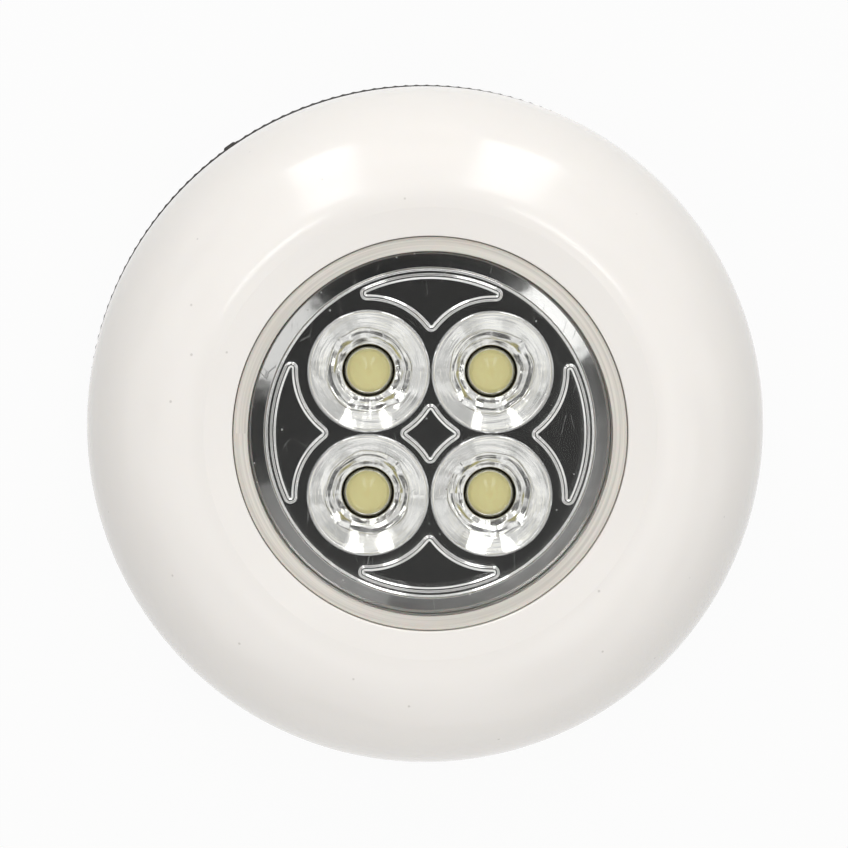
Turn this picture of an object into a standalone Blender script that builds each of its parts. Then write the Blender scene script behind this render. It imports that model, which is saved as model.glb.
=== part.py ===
"""A round stick-on LED light that is switched by pressing its dome.

The light lies on its back: z = 0 is the face of the adhesive pad, and +Z points out through the lens.
The back cover with its pad stays on the wall. The battery holder twists off the cover about Z.
The dome, with the lens and the reflector, slides along Z on the holder, against three springs.
"""

import math

import bmesh
import bpy
from mathutils import Matrix, Vector

MM = 0.001

# Clearances
FIT = 0.3 * MM
CELL_ROOM = 0.5 * MM
MERGE = 0.0005 * MM
BITE = 0.3 * MM

# Adhesive pad
PAD_RADIUS = 25.0 * MM
PAD_THICK = 1.2 * MM
PAD_SUNK = 0.4 * MM

# Back cover with its knurled rim
COVER_FLOOR = 1.6 * MM
COVER_HEIGHT = 7.4 * MM
COVER_WALL = 1.1 * MM
KNURL_PROUD = 1.0 * MM
KNURL_DEPTH = 0.25 * MM
KNURL_TEETH = 200
TAB_WIDTH = 1.5 * MM
TAB_PROUD = 0.2 * MM
TAB_ANGLE = math.radians(125.6)

# Bayonet between the cover and the holder
LUG_REACH = 1.1 * MM
LUG_THICK = 1.2 * MM
LUG_LIFT = 2.2 * MM
LUG_HALF_ANGLE = math.radians(7)
LEDGE_HALF_ANGLE = math.radians(9)
STOP_ANGLE = math.radians(3)
STOP_GAP_ANGLE = math.radians(1)
TWIST = math.radians(20)
LUG_ANGLES = [math.radians(45 + 120 * turn) for turn in range(3)]

# Battery cells, three side by side
CELL_RADIUS = 5.15 * MM
CELL_LENGTH = 44.3 * MM
CELL_PITCH = 11.5 * MM
CELL_EDGE = 0.5 * MM
NUB_RADIUS = 1.9 * MM
NUB_HEIGHT = 0.9 * MM

# Battery holder
HOLDER_WALL = 1.2 * MM
HOLDER_MARGIN = 0.03 * MM
DECK_THICK = 1.2 * MM
RIB_WIDTH = 0.8 * MM
RIB_DEPTH = 1.9 * MM

# Contacts
PLATE_THICK = 0.5 * MM
PLATE_SIZE = 9.0 * MM
CONTACT_WIRE = 0.3 * MM
CONTACT_BASE_RADIUS = 3.5 * MM
CONTACT_TOP_RADIUS = 2.0 * MM
CONTACT_LENGTH = 4.5 * MM
CONTACT_TURNS = 3
TAB_LENGTH = 2.0 * MM
SOLDER_TAB_WIDTH = 2.5 * MM
SOLDER_TAB_RISE = 1.6 * MM

# Circuit board
BOARD_INSET = 1.6 * MM
BOARD_THICK = 1.2 * MM
BOARD_TONGUE_WIDTH = 10.0 * MM
BOARD_TONGUE_INSET = 2.6 * MM
WINDOW_PAST_LEAD = 1.5 * MM
WINDOW_EDGE = 0.6 * MM

# LEDs
LED_SPREAD = 6.05 * MM
LED_RADIUS = 2.5 * MM
LED_HEIGHT = 8.6 * MM
LED_FLANGE_RADIUS = 2.9 * MM
LED_FLANGE_THICK = 1.0 * MM
LEAD_PITCH = 2.54 * MM
LEAD_WIDTH = 0.5 * MM
LEAD_DROP = 1.1 * MM

# Resistor
RESISTOR_ROOM = 1.0 * MM
RESISTOR_RADIUS = 1.15 * MM
RESISTOR_WAIST = 0.9 * MM
RESISTOR_LENGTH = 6.3 * MM
RESISTOR_CAP = 1.3 * MM
RESISTOR_LEAD = 0.3 * MM
RESISTOR_LEAD_PITCH = 9.2 * MM
RESISTOR_BEND = 0.9 * MM

# Push switch
SWITCH_INSET = 6.6 * MM
SWITCH_SIZE = 6.2 * MM
SWITCH_HEIGHT = 5.0 * MM
SWITCH_LID = 0.6 * MM
PLUNGER_RADIUS = 1.6 * MM
PLUNGER_FOOT_RADIUS = 2.1 * MM
PLUNGER_FOOT = 1.0 * MM
PLUNGER_PROUD = 1.8 * MM
PRESS_TRAVEL = 1.5 * MM
PRESS_POST_RADIUS = 2.0 * MM

# Dome
DOME_WALL = 1.3 * MM
CREST_BAND = 3.8 * MM
SHOULDER_HEIGHT = 15.0 * MM
COLLAR_WALL = 1.4 * MM
OPENING_EDGE = 0.2 * MM
OPENING_DROP = 0.7 * MM

# Lens
LENS_WALL = 0.95 * MM
LENS_THICK = 1.3 * MM
LENS_RECESS = 0.8 * MM
LENS_CHAMFER = 0.3 * MM
LENS_FOOT = 1.2 * MM
LENS_FOOT_REACH = 1.1 * MM

# Reflector
REFLECTOR_MARGIN = 1.4 * MM
REFLECTOR_WALL = 0.95 * MM
REFLECTOR_PLATE = 0.9 * MM
REFLECTOR_FLANGE = 1.0 * MM
FLANGE_CLEAR = 0.6 * MM
BOWL_GAP = 0.46 * MM
BOWL_SLOPE = 1.62 * MM
BOWL_DEPTH = 5.9 * MM
BOWL_WALL = 0.8 * MM
BOWL_APART = 0.1 * MM
RELIEF_HEIGHT = 0.4 * MM
RIDGE_MARGIN = 1.57 * MM
RIDGE_WIDTH = 0.5 * MM
CRESCENT_MARGIN = 0.75 * MM
CRESCENT_BAND = 1.68 * MM
DIAMOND_SHARE = 0.48

# Screws that hold the reflector in the dome, and the board on the holder
EAR_OUT = 4.0 * MM
EAR_RADIUS = 2.6 * MM
EAR_STEP = 0.1 * MM
EAR_ANGLES = [math.radians(90 + 120 * turn) for turn in range(3)]
EAR_SCREW_RADIUS = 1.0 * MM
EAR_SCREW_LENGTH = 6.0 * MM
EAR_HEAD_RADIUS = 1.9 * MM
EAR_HEAD_HEIGHT = 1.4 * MM
BOARD_SCREW_RADIUS = 0.85 * MM
BOARD_SCREW_LENGTH = 4.2 * MM
BOARD_HEAD_RADIUS = 1.6 * MM
BOARD_HEAD_HEIGHT = 1.2 * MM
BOSS_RADIUS = 1.75 * MM
CROSS_SLOT_SHARE = 0.35
CROSS_REACH_SHARE = 0.6

# Return springs
SPRING_INSET = 5.6 * MM
SPRING_ANGLES = [math.radians(30 + 120 * turn) for turn in range(3)]
SPRING_RADIUS = 2.05 * MM
SPRING_WIRE = 0.25 * MM
SPRING_LENGTH = 5.5 * MM
SPRING_TURNS = 5
SPRING_POST_RADIUS = 1.3 * MM
SPRING_POST_HEIGHT = 3.0 * MM
SPRING_SEAT_RADIUS = 3.0 * MM

# Snap hooks that keep the dome on the holder
HOOK_INSET = 2.4 * MM
HOOK_THICK = 1.2 * MM
HOOK_WIDTH = 6.0 * MM
HOOK_BARB = 1.0 * MM
HOOK_BARB_HEIGHT = 1.3 * MM
HOOK_ANGLES = EAR_ANGLES

# Battery leads
LEAD_RADIUS = 0.6 * MM
LEAD_SLOT = 2.0 * MM
LEAD_BEND = 1.5 * MM
LEAD_DRAW_IN = 0.95

# Fineness of the round surfaces
ROUND_STEPS = 64
SMALL_STEPS = 22
SHELL_STEPS = 16
TINY_STEPS = 10
SHOULDER_STEPS = 6
INNER_STEPS = 4
LED_TIP_STEPS = 4
BOWL_STEPS = 4
ARC_STEPS = 6
COIL_POINTS = 8
COIL_SIDES = 6
SHARP_ANGLE = math.radians(35)

# Radii and places that follow from the sizes above, from the cells outwards
CELL_SHIFT = CONTACT_LENGTH / 2
BAY_HALF_WIDTH = CELL_PITCH + CELL_RADIUS + FIT + CELL_ROOM
PLATE_FACE = (CELL_LENGTH + CONTACT_LENGTH) / 2 + FIT
PLATE_BACK = PLATE_FACE + PLATE_THICK
BAY_HALF_LENGTH = PLATE_BACK + FIT
BAY_END = BAY_HALF_LENGTH + HOLDER_WALL
HOLDER_RADIUS = math.hypot(BAY_HALF_WIDTH + HOLDER_WALL, BAY_END) + HOLDER_MARGIN
LEDGE_RADIUS = HOLDER_RADIUS + FIT
LUG_RADIUS = HOLDER_RADIUS + LUG_REACH
COVER_BORE = LUG_RADIUS + FIT
RIM_ROOT = COVER_BORE + COVER_WALL
RIM_TIP = RIM_ROOT + KNURL_DEPTH
DOME_RADIUS = RIM_TIP - KNURL_PROUD
HOOK_CIRCLE = HOLDER_RADIUS - HOOK_INSET
HOOK_INNER = HOOK_CIRCLE - HOOK_THICK / 2
HOOK_OUTER = HOOK_CIRCLE + HOOK_THICK / 2
SPRING_CIRCLE = HOLDER_RADIUS - SPRING_INSET
SWITCH_X = SWITCH_INSET - HOLDER_RADIUS
SWITCH_BORE = PLUNGER_FOOT_RADIUS + FIT

# Radii and places that follow from the LEDs' spread
BOWL_RIM = LED_SPREAD - BOWL_GAP / 2
BOWL_FLOOR = BOWL_RIM - BOWL_SLOPE
BOWL_CIRCLE = LED_SPREAD * math.sqrt(2)
RIDGE_RADIUS = BOWL_CIRCLE + BOWL_RIM + RIDGE_MARGIN
CRESCENT_RADIUS = RIDGE_RADIUS - CRESCENT_MARGIN
CRESCENT_HOLLOW = BOWL_RIM + CRESCENT_BAND
DIAMOND_TIP = LED_SPREAD * DIAMOND_SHARE
REFLECTOR_RADIUS = RIDGE_RADIUS + REFLECTOR_MARGIN
LENS_SKIRT_BORE = REFLECTOR_RADIUS + FIT
LENS_RADIUS = LENS_SKIRT_BORE + LENS_WALL
LENS_FOOT_RADIUS = LENS_RADIUS + LENS_FOOT_REACH
OPENING_RADIUS = LENS_RADIUS + FIT
COLLAR_RADIUS = OPENING_RADIUS + COLLAR_WALL
CREST_RADIUS = LENS_RADIUS + CREST_BAND
SHOULDER_WIDTH = DOME_RADIUS - CREST_RADIUS
EAR_CIRCLE = LENS_RADIUS + EAR_OUT
BOARD_RADIUS = LENS_RADIUS - BOARD_INSET
BOARD_TONGUE_END = HOLDER_RADIUS - BOARD_TONGUE_INSET
BOWL_FOOT_REACH = LED_SPREAD + BOWL_FLOOR + BOWL_WALL
BOARD_SCREW_X = CELL_PITCH / 2
BOARD_SCREW_Y = BOWL_FOOT_REACH + BOARD_HEAD_RADIUS
WINDOW_HALF_X = CELL_PITCH + WINDOW_PAST_LEAD
WINDOW_HALF_Y = BOARD_SCREW_Y - BOSS_RADIUS - WINDOW_EDGE
RESISTOR_X = RESISTOR_LEAD_PITCH / 2 + BOARD_HEAD_RADIUS + RESISTOR_ROOM - BOARD_SCREW_X
RESISTOR_Y = -(BOWL_FOOT_REACH + RESISTOR_RADIUS + RESISTOR_ROOM)
BOARD_SCREWS = [(BOARD_SCREW_X, BOARD_SCREW_Y), (-BOARD_SCREW_X, -BOARD_SCREW_Y)]
LED_PLACES = [(-LED_SPREAD, LED_SPREAD), (LED_SPREAD, LED_SPREAD),
              (-LED_SPREAD, -LED_SPREAD), (LED_SPREAD, -LED_SPREAD)]

# Levels that follow from the sizes above
COVER_BACK = PAD_THICK - PAD_SUNK
COVER_INSIDE = COVER_BACK + COVER_FLOOR
COVER_TOP = COVER_BACK + COVER_HEIGHT
LUG_BOTTOM = COVER_INSIDE + LUG_LIFT
LUG_TOP = LUG_BOTTOM + LUG_THICK
HOLDER_BOTTOM = COVER_INSIDE + FIT
CELL_AXIS = HOLDER_BOTTOM + CELL_RADIUS
DECK_BOTTOM = CELL_AXIS + CELL_RADIUS + CELL_ROOM
DECK_TOP = DECK_BOTTOM + DECK_THICK
BOARD_BOTTOM = DECK_TOP + FIT
BOARD_TOP = BOARD_BOTTOM + BOARD_THICK
LED_SEAT = BOARD_TOP + FIT
LED_TIP = LED_SEAT + LED_HEIGHT
LENS_UNDER = LED_TIP + PRESS_TRAVEL + FIT
LENS_TOP = LENS_UNDER + LENS_THICK
CREST = LENS_TOP + LENS_RECESS
DOME_EDGE = COVER_TOP + PRESS_TRAVEL + FIT
SHOULDER_BASE = CREST - SHOULDER_HEIGHT
REFLECTOR_FACE = LENS_UNDER - FIT - RELIEF_HEIGHT
FLANGE_BOTTOM = BOARD_TOP + PRESS_TRAVEL + FLANGE_CLEAR
FLANGE_TOP = FLANGE_BOTTOM + REFLECTOR_FLANGE
LENS_FOOT_BOTTOM = FLANGE_TOP + FIT
LENS_FOOT_TOP = LENS_FOOT_BOTTOM + LENS_FOOT
COLLAR_END = LENS_FOOT_TOP + FIT
BOWL_BOTTOM = REFLECTOR_FACE - BOWL_DEPTH
SPRING_BOTTOM = DECK_TOP + FIT
SPRING_TOP = SPRING_BOTTOM + SPRING_LENGTH
SWITCH_BOTTOM = BOARD_TOP + FIT
SWITCH_TOP = SWITCH_BOTTOM + SWITCH_HEIGHT
PLUNGER_FOOT_TOP = SWITCH_TOP - SWITCH_LID - FIT
PLUNGER_BOTTOM = PLUNGER_FOOT_TOP - PLUNGER_FOOT
PLUNGER_TOP = SWITCH_TOP + PLUNGER_PROUD
BARB_TOP = DECK_BOTTOM - FIT
BARB_BOTTOM = BARB_TOP - HOOK_BARB_HEIGHT
TAB_LEVEL = CELL_AXIS + SOLDER_TAB_RISE


def clear_scene():
    for thing in list(bpy.data.objects):
        bpy.data.objects.remove(thing, do_unlink=True)


def finish_material(name, colour, roughness, metallic=0.0):
    material = bpy.data.materials.new(name)
    material.use_nodes = True
    shader = material.node_tree.nodes["Principled BSDF"]
    shader.inputs["Base Color"].default_value = (*colour, 1.0)
    shader.inputs["Roughness"].default_value = roughness
    shader.inputs["Metallic"].default_value = metallic
    return material


# Shapes drawn into a bmesh

def polar(radius, angle):
    return radius * math.cos(angle), radius * math.sin(angle)


def arc_points(centre, radius, start, end):
    """Points of an arc about a centre, in any one plane."""
    points = []
    for step in range(ARC_STEPS + 1):
        x, y = polar(radius, start + (end - start) * step / ARC_STEPS)
        points.append((centre[0] + x, centre[1] + y))
    return points


def turned(bm, profile, steps=ROUND_STEPS, start=0.0, sweep=2 * math.pi):
    """A closed outline of (radius, z) points spun about Z, all round or through part of a turn.

    An outline that starts and ends on the axis is left open there, because it closes on itself.
    """
    before = set(bm.verts)
    spin = Matrix.Rotation(start, 4, "Z")
    points = [bm.verts.new(spin @ Vector((radius, 0.0, z))) for radius, z in profile]
    edges = [bm.edges.new(pair) for pair in zip(points, points[1:])]
    if profile[0][0] > 0:
        edges.append(bm.edges.new((points[-1], points[0])))
    whole = sweep > 2 * math.pi - 1e-6
    made = bmesh.ops.spin(bm, geom=points + edges, cent=(0, 0, 0), axis=(0, 0, 1), angle=sweep,
                          steps=steps, use_merge=whole, use_duplicate=False)
    if not whole:
        last = [item for item in made["geom_last"] if isinstance(item, bmesh.types.BMEdge)]
        bmesh.ops.edgeloop_fill(bm, edges=edges)
        bmesh.ops.edgeloop_fill(bm, edges=last)
    new = [vert for vert in bm.verts if vert not in before]
    bmesh.ops.remove_doubles(bm, verts=new, dist=MERGE)


def moved(bm, matrix, draw):
    """Draws one more shape and moves that shape alone."""
    before = set(bm.verts)
    draw()
    new = [vert for vert in bm.verts if vert not in before]
    bmesh.ops.transform(bm, matrix=matrix, verts=new)


def prism(bm, outline, bottom, top):
    """A flat outline of (x, y) points drawn up into a solid."""
    face = bm.faces.new([bm.verts.new((x, y, bottom)) for x, y in outline])
    grown = bmesh.ops.extrude_face_region(bm, geom=[face])
    raised = [item for item in grown["geom"] if isinstance(item, bmesh.types.BMVert)]
    bmesh.ops.translate(bm, verts=raised, vec=(0, 0, top - bottom))


def block(bm, x_range, y_range, z_range):
    (x0, x1), (y0, y1) = x_range, y_range
    prism(bm, [(x0, y0), (x1, y0), (x1, y1), (x0, y1)], *z_range)


def rod(bm, radius, bottom, top, x=0.0, y=0.0, steps=SMALL_STEPS):
    place = Matrix.Translation((x, y, (bottom + top) / 2))
    bmesh.ops.create_cone(bm, cap_ends=True, segments=steps, radius1=radius, radius2=radius,
                          depth=top - bottom, matrix=place)


def turned_block(bm, radii, width, levels, angle):
    """A block that lies along a radius of the light."""
    along = Vector(polar(1.0, angle))
    across = Vector((-along.y, along.x)) * (width / 2)
    near, far = along * radii[0], along * radii[1]
    prism(bm, [near - across, far - across, far + across, near + across], *levels)


def coil_path(turns, base_radius, top_radius, length):
    """Points of a coil that climbs from z = 0 to its length, straight or tapered."""
    count = turns * COIL_POINTS
    path = []
    for step in range(count + 1):
        share = step / count
        x, y = polar(base_radius + (top_radius - base_radius) * share, 2 * math.pi * turns * share)
        path.append(Vector((x, y, length * share)))
    return path


def tube(bm, path, radius, reference=(0, 0, 1)):
    """One unbroken tube along the path, with flat ends; the path never runs along the reference."""
    rings = []
    for index, point in enumerate(path):
        ahead = path[min(index + 1, len(path) - 1)] - path[max(index - 1, 0)]
        side = ahead.cross(Vector(reference)).normalized()
        up = side.cross(ahead).normalized()
        ring = []
        for corner in range(COIL_SIDES):
            across, along = polar(radius, 2 * math.pi * corner / COIL_SIDES)
            ring.append(bm.verts.new(point + side * across + up * along))
        rings.append(ring)
    for first, second in zip(rings, rings[1:]):
        for corner in range(COIL_SIDES):
            bm.faces.new((first[corner - 1], first[corner], second[corner], second[corner - 1]))
    bm.faces.new(rings[0])
    bm.faces.new(rings[-1])


def coil_gap(path, radius):
    """The least gap between one turn of a coil and the next."""
    apart = COIL_POINTS // 2
    pairs = [(a, b) for i, a in enumerate(path) for b in path[i + apart:]]
    return min((a - b).length for a, b in pairs) - 2 * radius


# Objects made from those shapes

def shape(name, draw, material=None, place=(0, 0, 0), parent=None):
    bm = bmesh.new()
    draw(bm)
    bmesh.ops.recalc_face_normals(bm, faces=bm.faces)
    mesh = bpy.data.meshes.new(name)
    bm.to_mesh(mesh)
    bm.free()
    return add_object(name, mesh, material, place, parent)


def add_object(name, data, material=None, place=(0, 0, 0), parent=None):
    thing = bpy.data.objects.new(name, data)
    bpy.context.scene.collection.objects.link(thing)
    thing.location = place
    thing.parent = parent
    if material and not data.materials:
        data.materials.append(material)
    if material and isinstance(data, bpy.types.Mesh):
        data.shade_smooth()
        data.set_sharp_from_angle(angle=SHARP_ANGLE)
    return thing


def combine(target, operation, name, draw):
    """Joins, cuts or keeps a drawn tool with the target, by a Boolean that stays on it."""
    tool = shape(name, draw)
    tool.hide_render = True
    tool.display_type = "WIRE"
    step = target.modifiers.new(name, "BOOLEAN")
    step.operation = operation
    step.solver = "EXACT"
    step.object = tool
    return tool


def joint_axis(name, place, parent=None):
    empty = bpy.data.objects.new(name, None)
    bpy.context.scene.collection.objects.link(empty)
    empty.location = place
    empty.parent = parent
    return empty


# The base: adhesive pad and back cover

def knurled_outline():
    outline = []
    for tooth in range(KNURL_TEETH):
        angle = 2 * math.pi * tooth / KNURL_TEETH
        outline.append(polar(RIM_TIP, angle))
        outline.append(polar(RIM_ROOT, angle + math.pi / KNURL_TEETH))
    return outline


def make_pad():
    foam = finish_material("foam_tape", (0.86, 0.86, 0.84), 0.9)
    shape("adhesive_pad", lambda bm: rod(bm, PAD_RADIUS, 0, PAD_THICK, steps=ROUND_STEPS), foam)


def make_back_cover():
    black = finish_material("black_moulding", (0.035, 0.033, 0.03), 0.5)
    cover = shape("back_cover", lambda bm: prism(bm, knurled_outline(), COVER_BACK, COVER_TOP), black)

    def hollows(bm):
        rod(bm, COVER_BORE, COVER_INSIDE, COVER_TOP + FIT, steps=ROUND_STEPS)
        rod(bm, PAD_RADIUS + FIT, 0, PAD_THICK + FIT, steps=ROUND_STEPS)

    def ledges(bm):
        levels = [(LEDGE_RADIUS, COVER_TOP - FIT), (LEDGE_RADIUS, LUG_TOP + FIT),
                  (COVER_BORE + BITE, LUG_TOP + FIT), (COVER_BORE + BITE, COVER_TOP - FIT)]
        for angle in LUG_ANGLES:
            turned(bm, levels, 4, angle - LEDGE_HALF_ANGLE, 2 * LEDGE_HALF_ANGLE)

    def stops(bm):
        levels = [(LEDGE_RADIUS, COVER_TOP - 2 * FIT), (LEDGE_RADIUS, COVER_INSIDE - BITE),
                  (COVER_BORE + BITE, COVER_INSIDE - BITE), (COVER_BORE + BITE, COVER_TOP - 2 * FIT)]
        closed = LUG_HALF_ANGLE + STOP_GAP_ANGLE
        for angle in LUG_ANGLES:
            turned(bm, levels, 1, angle - closed - STOP_ANGLE, STOP_ANGLE)
            turned(bm, levels, 1, angle + TWIST + closed, STOP_ANGLE)

    def tab(bm):
        radii = (RIM_ROOT - BITE, RIM_TIP + TAB_PROUD)
        turned_block(bm, radii, TAB_WIDTH, (COVER_BACK + FIT, COVER_TOP - FIT), TAB_ANGLE)

    combine(cover, "DIFFERENCE", "cover_hollows", hollows)
    combine(cover, "UNION", "bayonet_ledges", ledges)
    combine(cover, "UNION", "bayonet_stops", stops)
    combine(cover, "UNION", "rim_tab", tab)


# The battery holder and what it carries

def make_holder(parent):
    black = finish_material("black_holder", (0.03, 0.03, 0.032), 0.45)
    tray = [(0, DECK_TOP), (HOLDER_RADIUS, DECK_TOP), (HOLDER_RADIUS, HOLDER_BOTTOM),
            (HOLDER_RADIUS - HOLDER_WALL, HOLDER_BOTTOM), (HOLDER_RADIUS - HOLDER_WALL, DECK_BOTTOM),
            (0, DECK_BOTTOM)]
    holder = shape("battery_holder", lambda bm: turned(bm, tray), black, parent=parent)
    wall = HOLDER_WALL

    def bay_box(bm):
        block(bm, (-BAY_HALF_WIDTH - wall, BAY_HALF_WIDTH + wall), (-BAY_END, BAY_END),
              (HOLDER_BOTTOM + FIT, DECK_BOTTOM + BITE))

    def bay_hollow(bm):
        block(bm, (-BAY_HALF_WIDTH, BAY_HALF_WIDTH), (-BAY_HALF_LENGTH, BAY_HALF_LENGTH),
              (HOLDER_BOTTOM - FIT, DECK_BOTTOM))

    def ribs(bm):
        for side in (-1, 1):
            middle = side * CELL_PITCH / 2
            block(bm, (middle - RIB_WIDTH / 2, middle + RIB_WIDTH / 2),
                  (FIT - PLATE_FACE, PLATE_FACE - FIT),
                  (DECK_BOTTOM - RIB_DEPTH, DECK_BOTTOM + BITE))

    def bosses(bm):
        for x, y in BOARD_SCREWS:
            rod(bm, BOSS_RADIUS, DECK_BOTTOM - RIB_DEPTH - FIT / 3, DECK_BOTTOM + 2 * BITE, x, y)

    def posts_and_lugs(bm):
        for angle in SPRING_ANGLES:
            x, y = polar(SPRING_CIRCLE, angle)
            rod(bm, SPRING_POST_RADIUS, DECK_TOP - BITE, DECK_TOP + SPRING_POST_HEIGHT, x, y, TINY_STEPS)
        lug = [(HOLDER_RADIUS - BITE, LUG_TOP), (HOLDER_RADIUS - BITE, LUG_BOTTOM),
               (LUG_RADIUS, LUG_BOTTOM), (LUG_RADIUS, LUG_TOP)]
        for angle in LUG_ANGLES:
            turned(bm, lug, 3, angle - LUG_HALF_ANGLE, 2 * LUG_HALF_ANGLE)

    def windows(bm):
        levels = (DECK_BOTTOM - RIB_DEPTH - FIT, DECK_TOP + FIT)
        block(bm, (-WINDOW_HALF_X, WINDOW_HALF_X), (-WINDOW_HALF_Y, WINDOW_HALF_Y), levels)
        for angle in HOOK_ANGLES:
            radii = (HOOK_INNER - FIT, HOOK_OUTER + FIT)
            turned_block(bm, radii, HOOK_WIDTH + 2 * FIT, (DECK_BOTTOM - FIT, DECK_TOP + FIT), angle)
        for side in (-1, 1):
            x_range = (-side * CELL_PITCH - SOLDER_TAB_WIDTH / 2 - FIT,
                       -side * CELL_PITCH + SOLDER_TAB_WIDTH / 2 + FIT)
            y_range = sorted((side * (BAY_HALF_LENGTH - FIT), side * (BAY_END + FIT)))
            block(bm, x_range, y_range, (TAB_LEVEL - FIT, TAB_LEVEL + PLATE_THICK + FIT))

    def slots(bm):
        levels = (DECK_BOTTOM - CELL_ROOM / 2, DECK_TOP + FIT)
        for side in (-1, 1):
            x_range = (-side * CELL_PITCH - LEAD_SLOT / 2, -side * CELL_PITCH + LEAD_SLOT / 2)
            end = BAY_END + TAB_LENGTH
            y_range = sorted((side * (WINDOW_HALF_Y - FIT), side * end))
            block(bm, x_range, y_range, levels)
        for x, y in BOARD_SCREWS:
            rod(bm, BOARD_SCREW_RADIUS + FIT, DECK_BOTTOM - RIB_DEPTH - FIT, DECK_TOP + FIT, x, y, TINY_STEPS)

    combine(holder, "UNION", "bay_box", bay_box)
    combine(holder, "DIFFERENCE", "bay_hollow", bay_hollow)
    combine(holder, "UNION", "cell_ribs", ribs)
    combine(holder, "UNION", "screw_bosses", bosses)
    combine(holder, "UNION", "spring_posts_and_lugs", posts_and_lugs)
    combine(holder, "DIFFERENCE", "deck_windows", windows)
    combine(holder, "DIFFERENCE", "lead_slots", slots)


def make_cells(parent):
    label = finish_material("cell_sleeve", (0.10, 0.16, 0.30), 0.35, 0.3)
    body = CELL_LENGTH - NUB_HEIGHT
    profile = [(0, CELL_LENGTH), (NUB_RADIUS, CELL_LENGTH), (NUB_RADIUS, body),
               (CELL_RADIUS - CELL_EDGE, body), (CELL_RADIUS, body - CELL_EDGE),
               (CELL_RADIUS, CELL_EDGE), (CELL_RADIUS - CELL_EDGE, 0), (0, 0)]
    mesh = None
    for number, way in enumerate((1, -1, 1)):
        name = f"battery_cell_{number + 1}"
        place = ((number - 1) * CELL_PITCH, way * (CELL_SHIFT - CELL_LENGTH / 2), CELL_AXIS)
        if mesh is None:
            cell = shape(name, lambda bm: turned(bm, profile, SMALL_STEPS), label, place, parent)
            mesh = cell.data
        else:
            cell = add_object(name, mesh, label, place, parent)
        cell.rotation_euler = (-way * math.pi / 2, 0, 0)


def make_contact(name, parent, end, x_range, spring_x=None, tab_x=None):
    """A sprung or plain end plate; end is +1 or -1 for the side of the bay that it stands on."""
    steel = finish_material(name + "_plating", (0.72, 0.71, 0.68), 0.25, 1.0)
    faces = sorted((end * PLATE_FACE, end * PLATE_BACK))
    levels = (CELL_AXIS - PLATE_SIZE / 2, CELL_AXIS + PLATE_SIZE / 2)
    plate = shape(name, lambda bm: block(bm, x_range, faces, levels), steel, parent=parent)
    if tab_x is not None:
        reach = sorted((end * (PLATE_BACK - PLATE_THICK / 2), end * (BAY_END + TAB_LENGTH - FIT)))
        half = SOLDER_TAB_WIDTH / 2
        combine(plate, "UNION", name + "_tab", lambda bm: block(
            bm, (tab_x - half, tab_x + half), reach, (TAB_LEVEL, TAB_LEVEL + PLATE_THICK)))
    if spring_x is not None:
        sunk = PLATE_THICK / 2
        length = CONTACT_LENGTH - CONTACT_WIRE + sunk
        path = coil_path(CONTACT_TURNS, CONTACT_BASE_RADIUS, CONTACT_TOP_RADIUS, length)
        turn = Matrix.Rotation(end * math.pi / 2, 4, "X")
        seat = Vector((spring_x, end * (PLATE_FACE + sunk), CELL_AXIS))

        def spring(bm):
            tube(bm, path, CONTACT_WIRE)
            bmesh.ops.transform(bm, matrix=Matrix.Translation(seat) @ turn, verts=bm.verts)

        combine(plate, "UNION", name + "_coil", spring)


def make_contacts(parent):
    half = PLATE_SIZE / 2
    left = (-CELL_PITCH - half, -CELL_PITCH + half)
    right = (CELL_PITCH - half, CELL_PITCH + half)
    make_contact("contact_plate_positive", parent, 1, left, tab_x=-CELL_PITCH)
    make_contact("contact_bridge_front", parent, 1, (-half, right[1]), spring_x=0.0)
    make_contact("contact_bridge_back", parent, -1, (left[0], half), spring_x=-CELL_PITCH)
    make_contact("contact_spring_negative", parent, -1, right, spring_x=CELL_PITCH, tab_x=CELL_PITCH)
    path = coil_path(CONTACT_TURNS, CONTACT_BASE_RADIUS, CONTACT_TOP_RADIUS, CONTACT_LENGTH)
    print("contact spring, least gap in mm:", round(coil_gap(path, CONTACT_WIRE) / MM, 3))


def make_board(parent):
    laminate = finish_material("board_laminate", (0.55, 0.42, 0.22), 0.5)
    board = shape("circuit_board", lambda bm: rod(
        bm, BOARD_RADIUS, BOARD_BOTTOM, BOARD_TOP, steps=ROUND_STEPS), laminate, parent=parent)
    half = BOARD_TONGUE_WIDTH / 2

    def holes(bm):
        levels = (BOARD_BOTTOM - FIT, BOARD_TOP + FIT)
        lead_hole = LEAD_WIDTH / 2 * math.sqrt(2) + FIT
        for x, y in LED_PLACES:
            for side in (-1, 1):
                rod(bm, lead_hole, *levels, x + side * LEAD_PITCH / 2, y, TINY_STEPS)
        for x, y in BOARD_SCREWS:
            rod(bm, BOARD_SCREW_RADIUS + FIT, *levels, x, y, TINY_STEPS)
        for side in (-1, 1):
            x = RESISTOR_X + side * RESISTOR_LEAD_PITCH / 2
            rod(bm, RESISTOR_LEAD + FIT, *levels, x, RESISTOR_Y, TINY_STEPS)

    combine(board, "UNION", "board_tongue", lambda bm: block(
        bm, (-BOARD_TONGUE_END, 0), (-half, half), (BOARD_BOTTOM, BOARD_TOP)))
    combine(board, "DIFFERENCE", "board_holes", holes)


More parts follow.
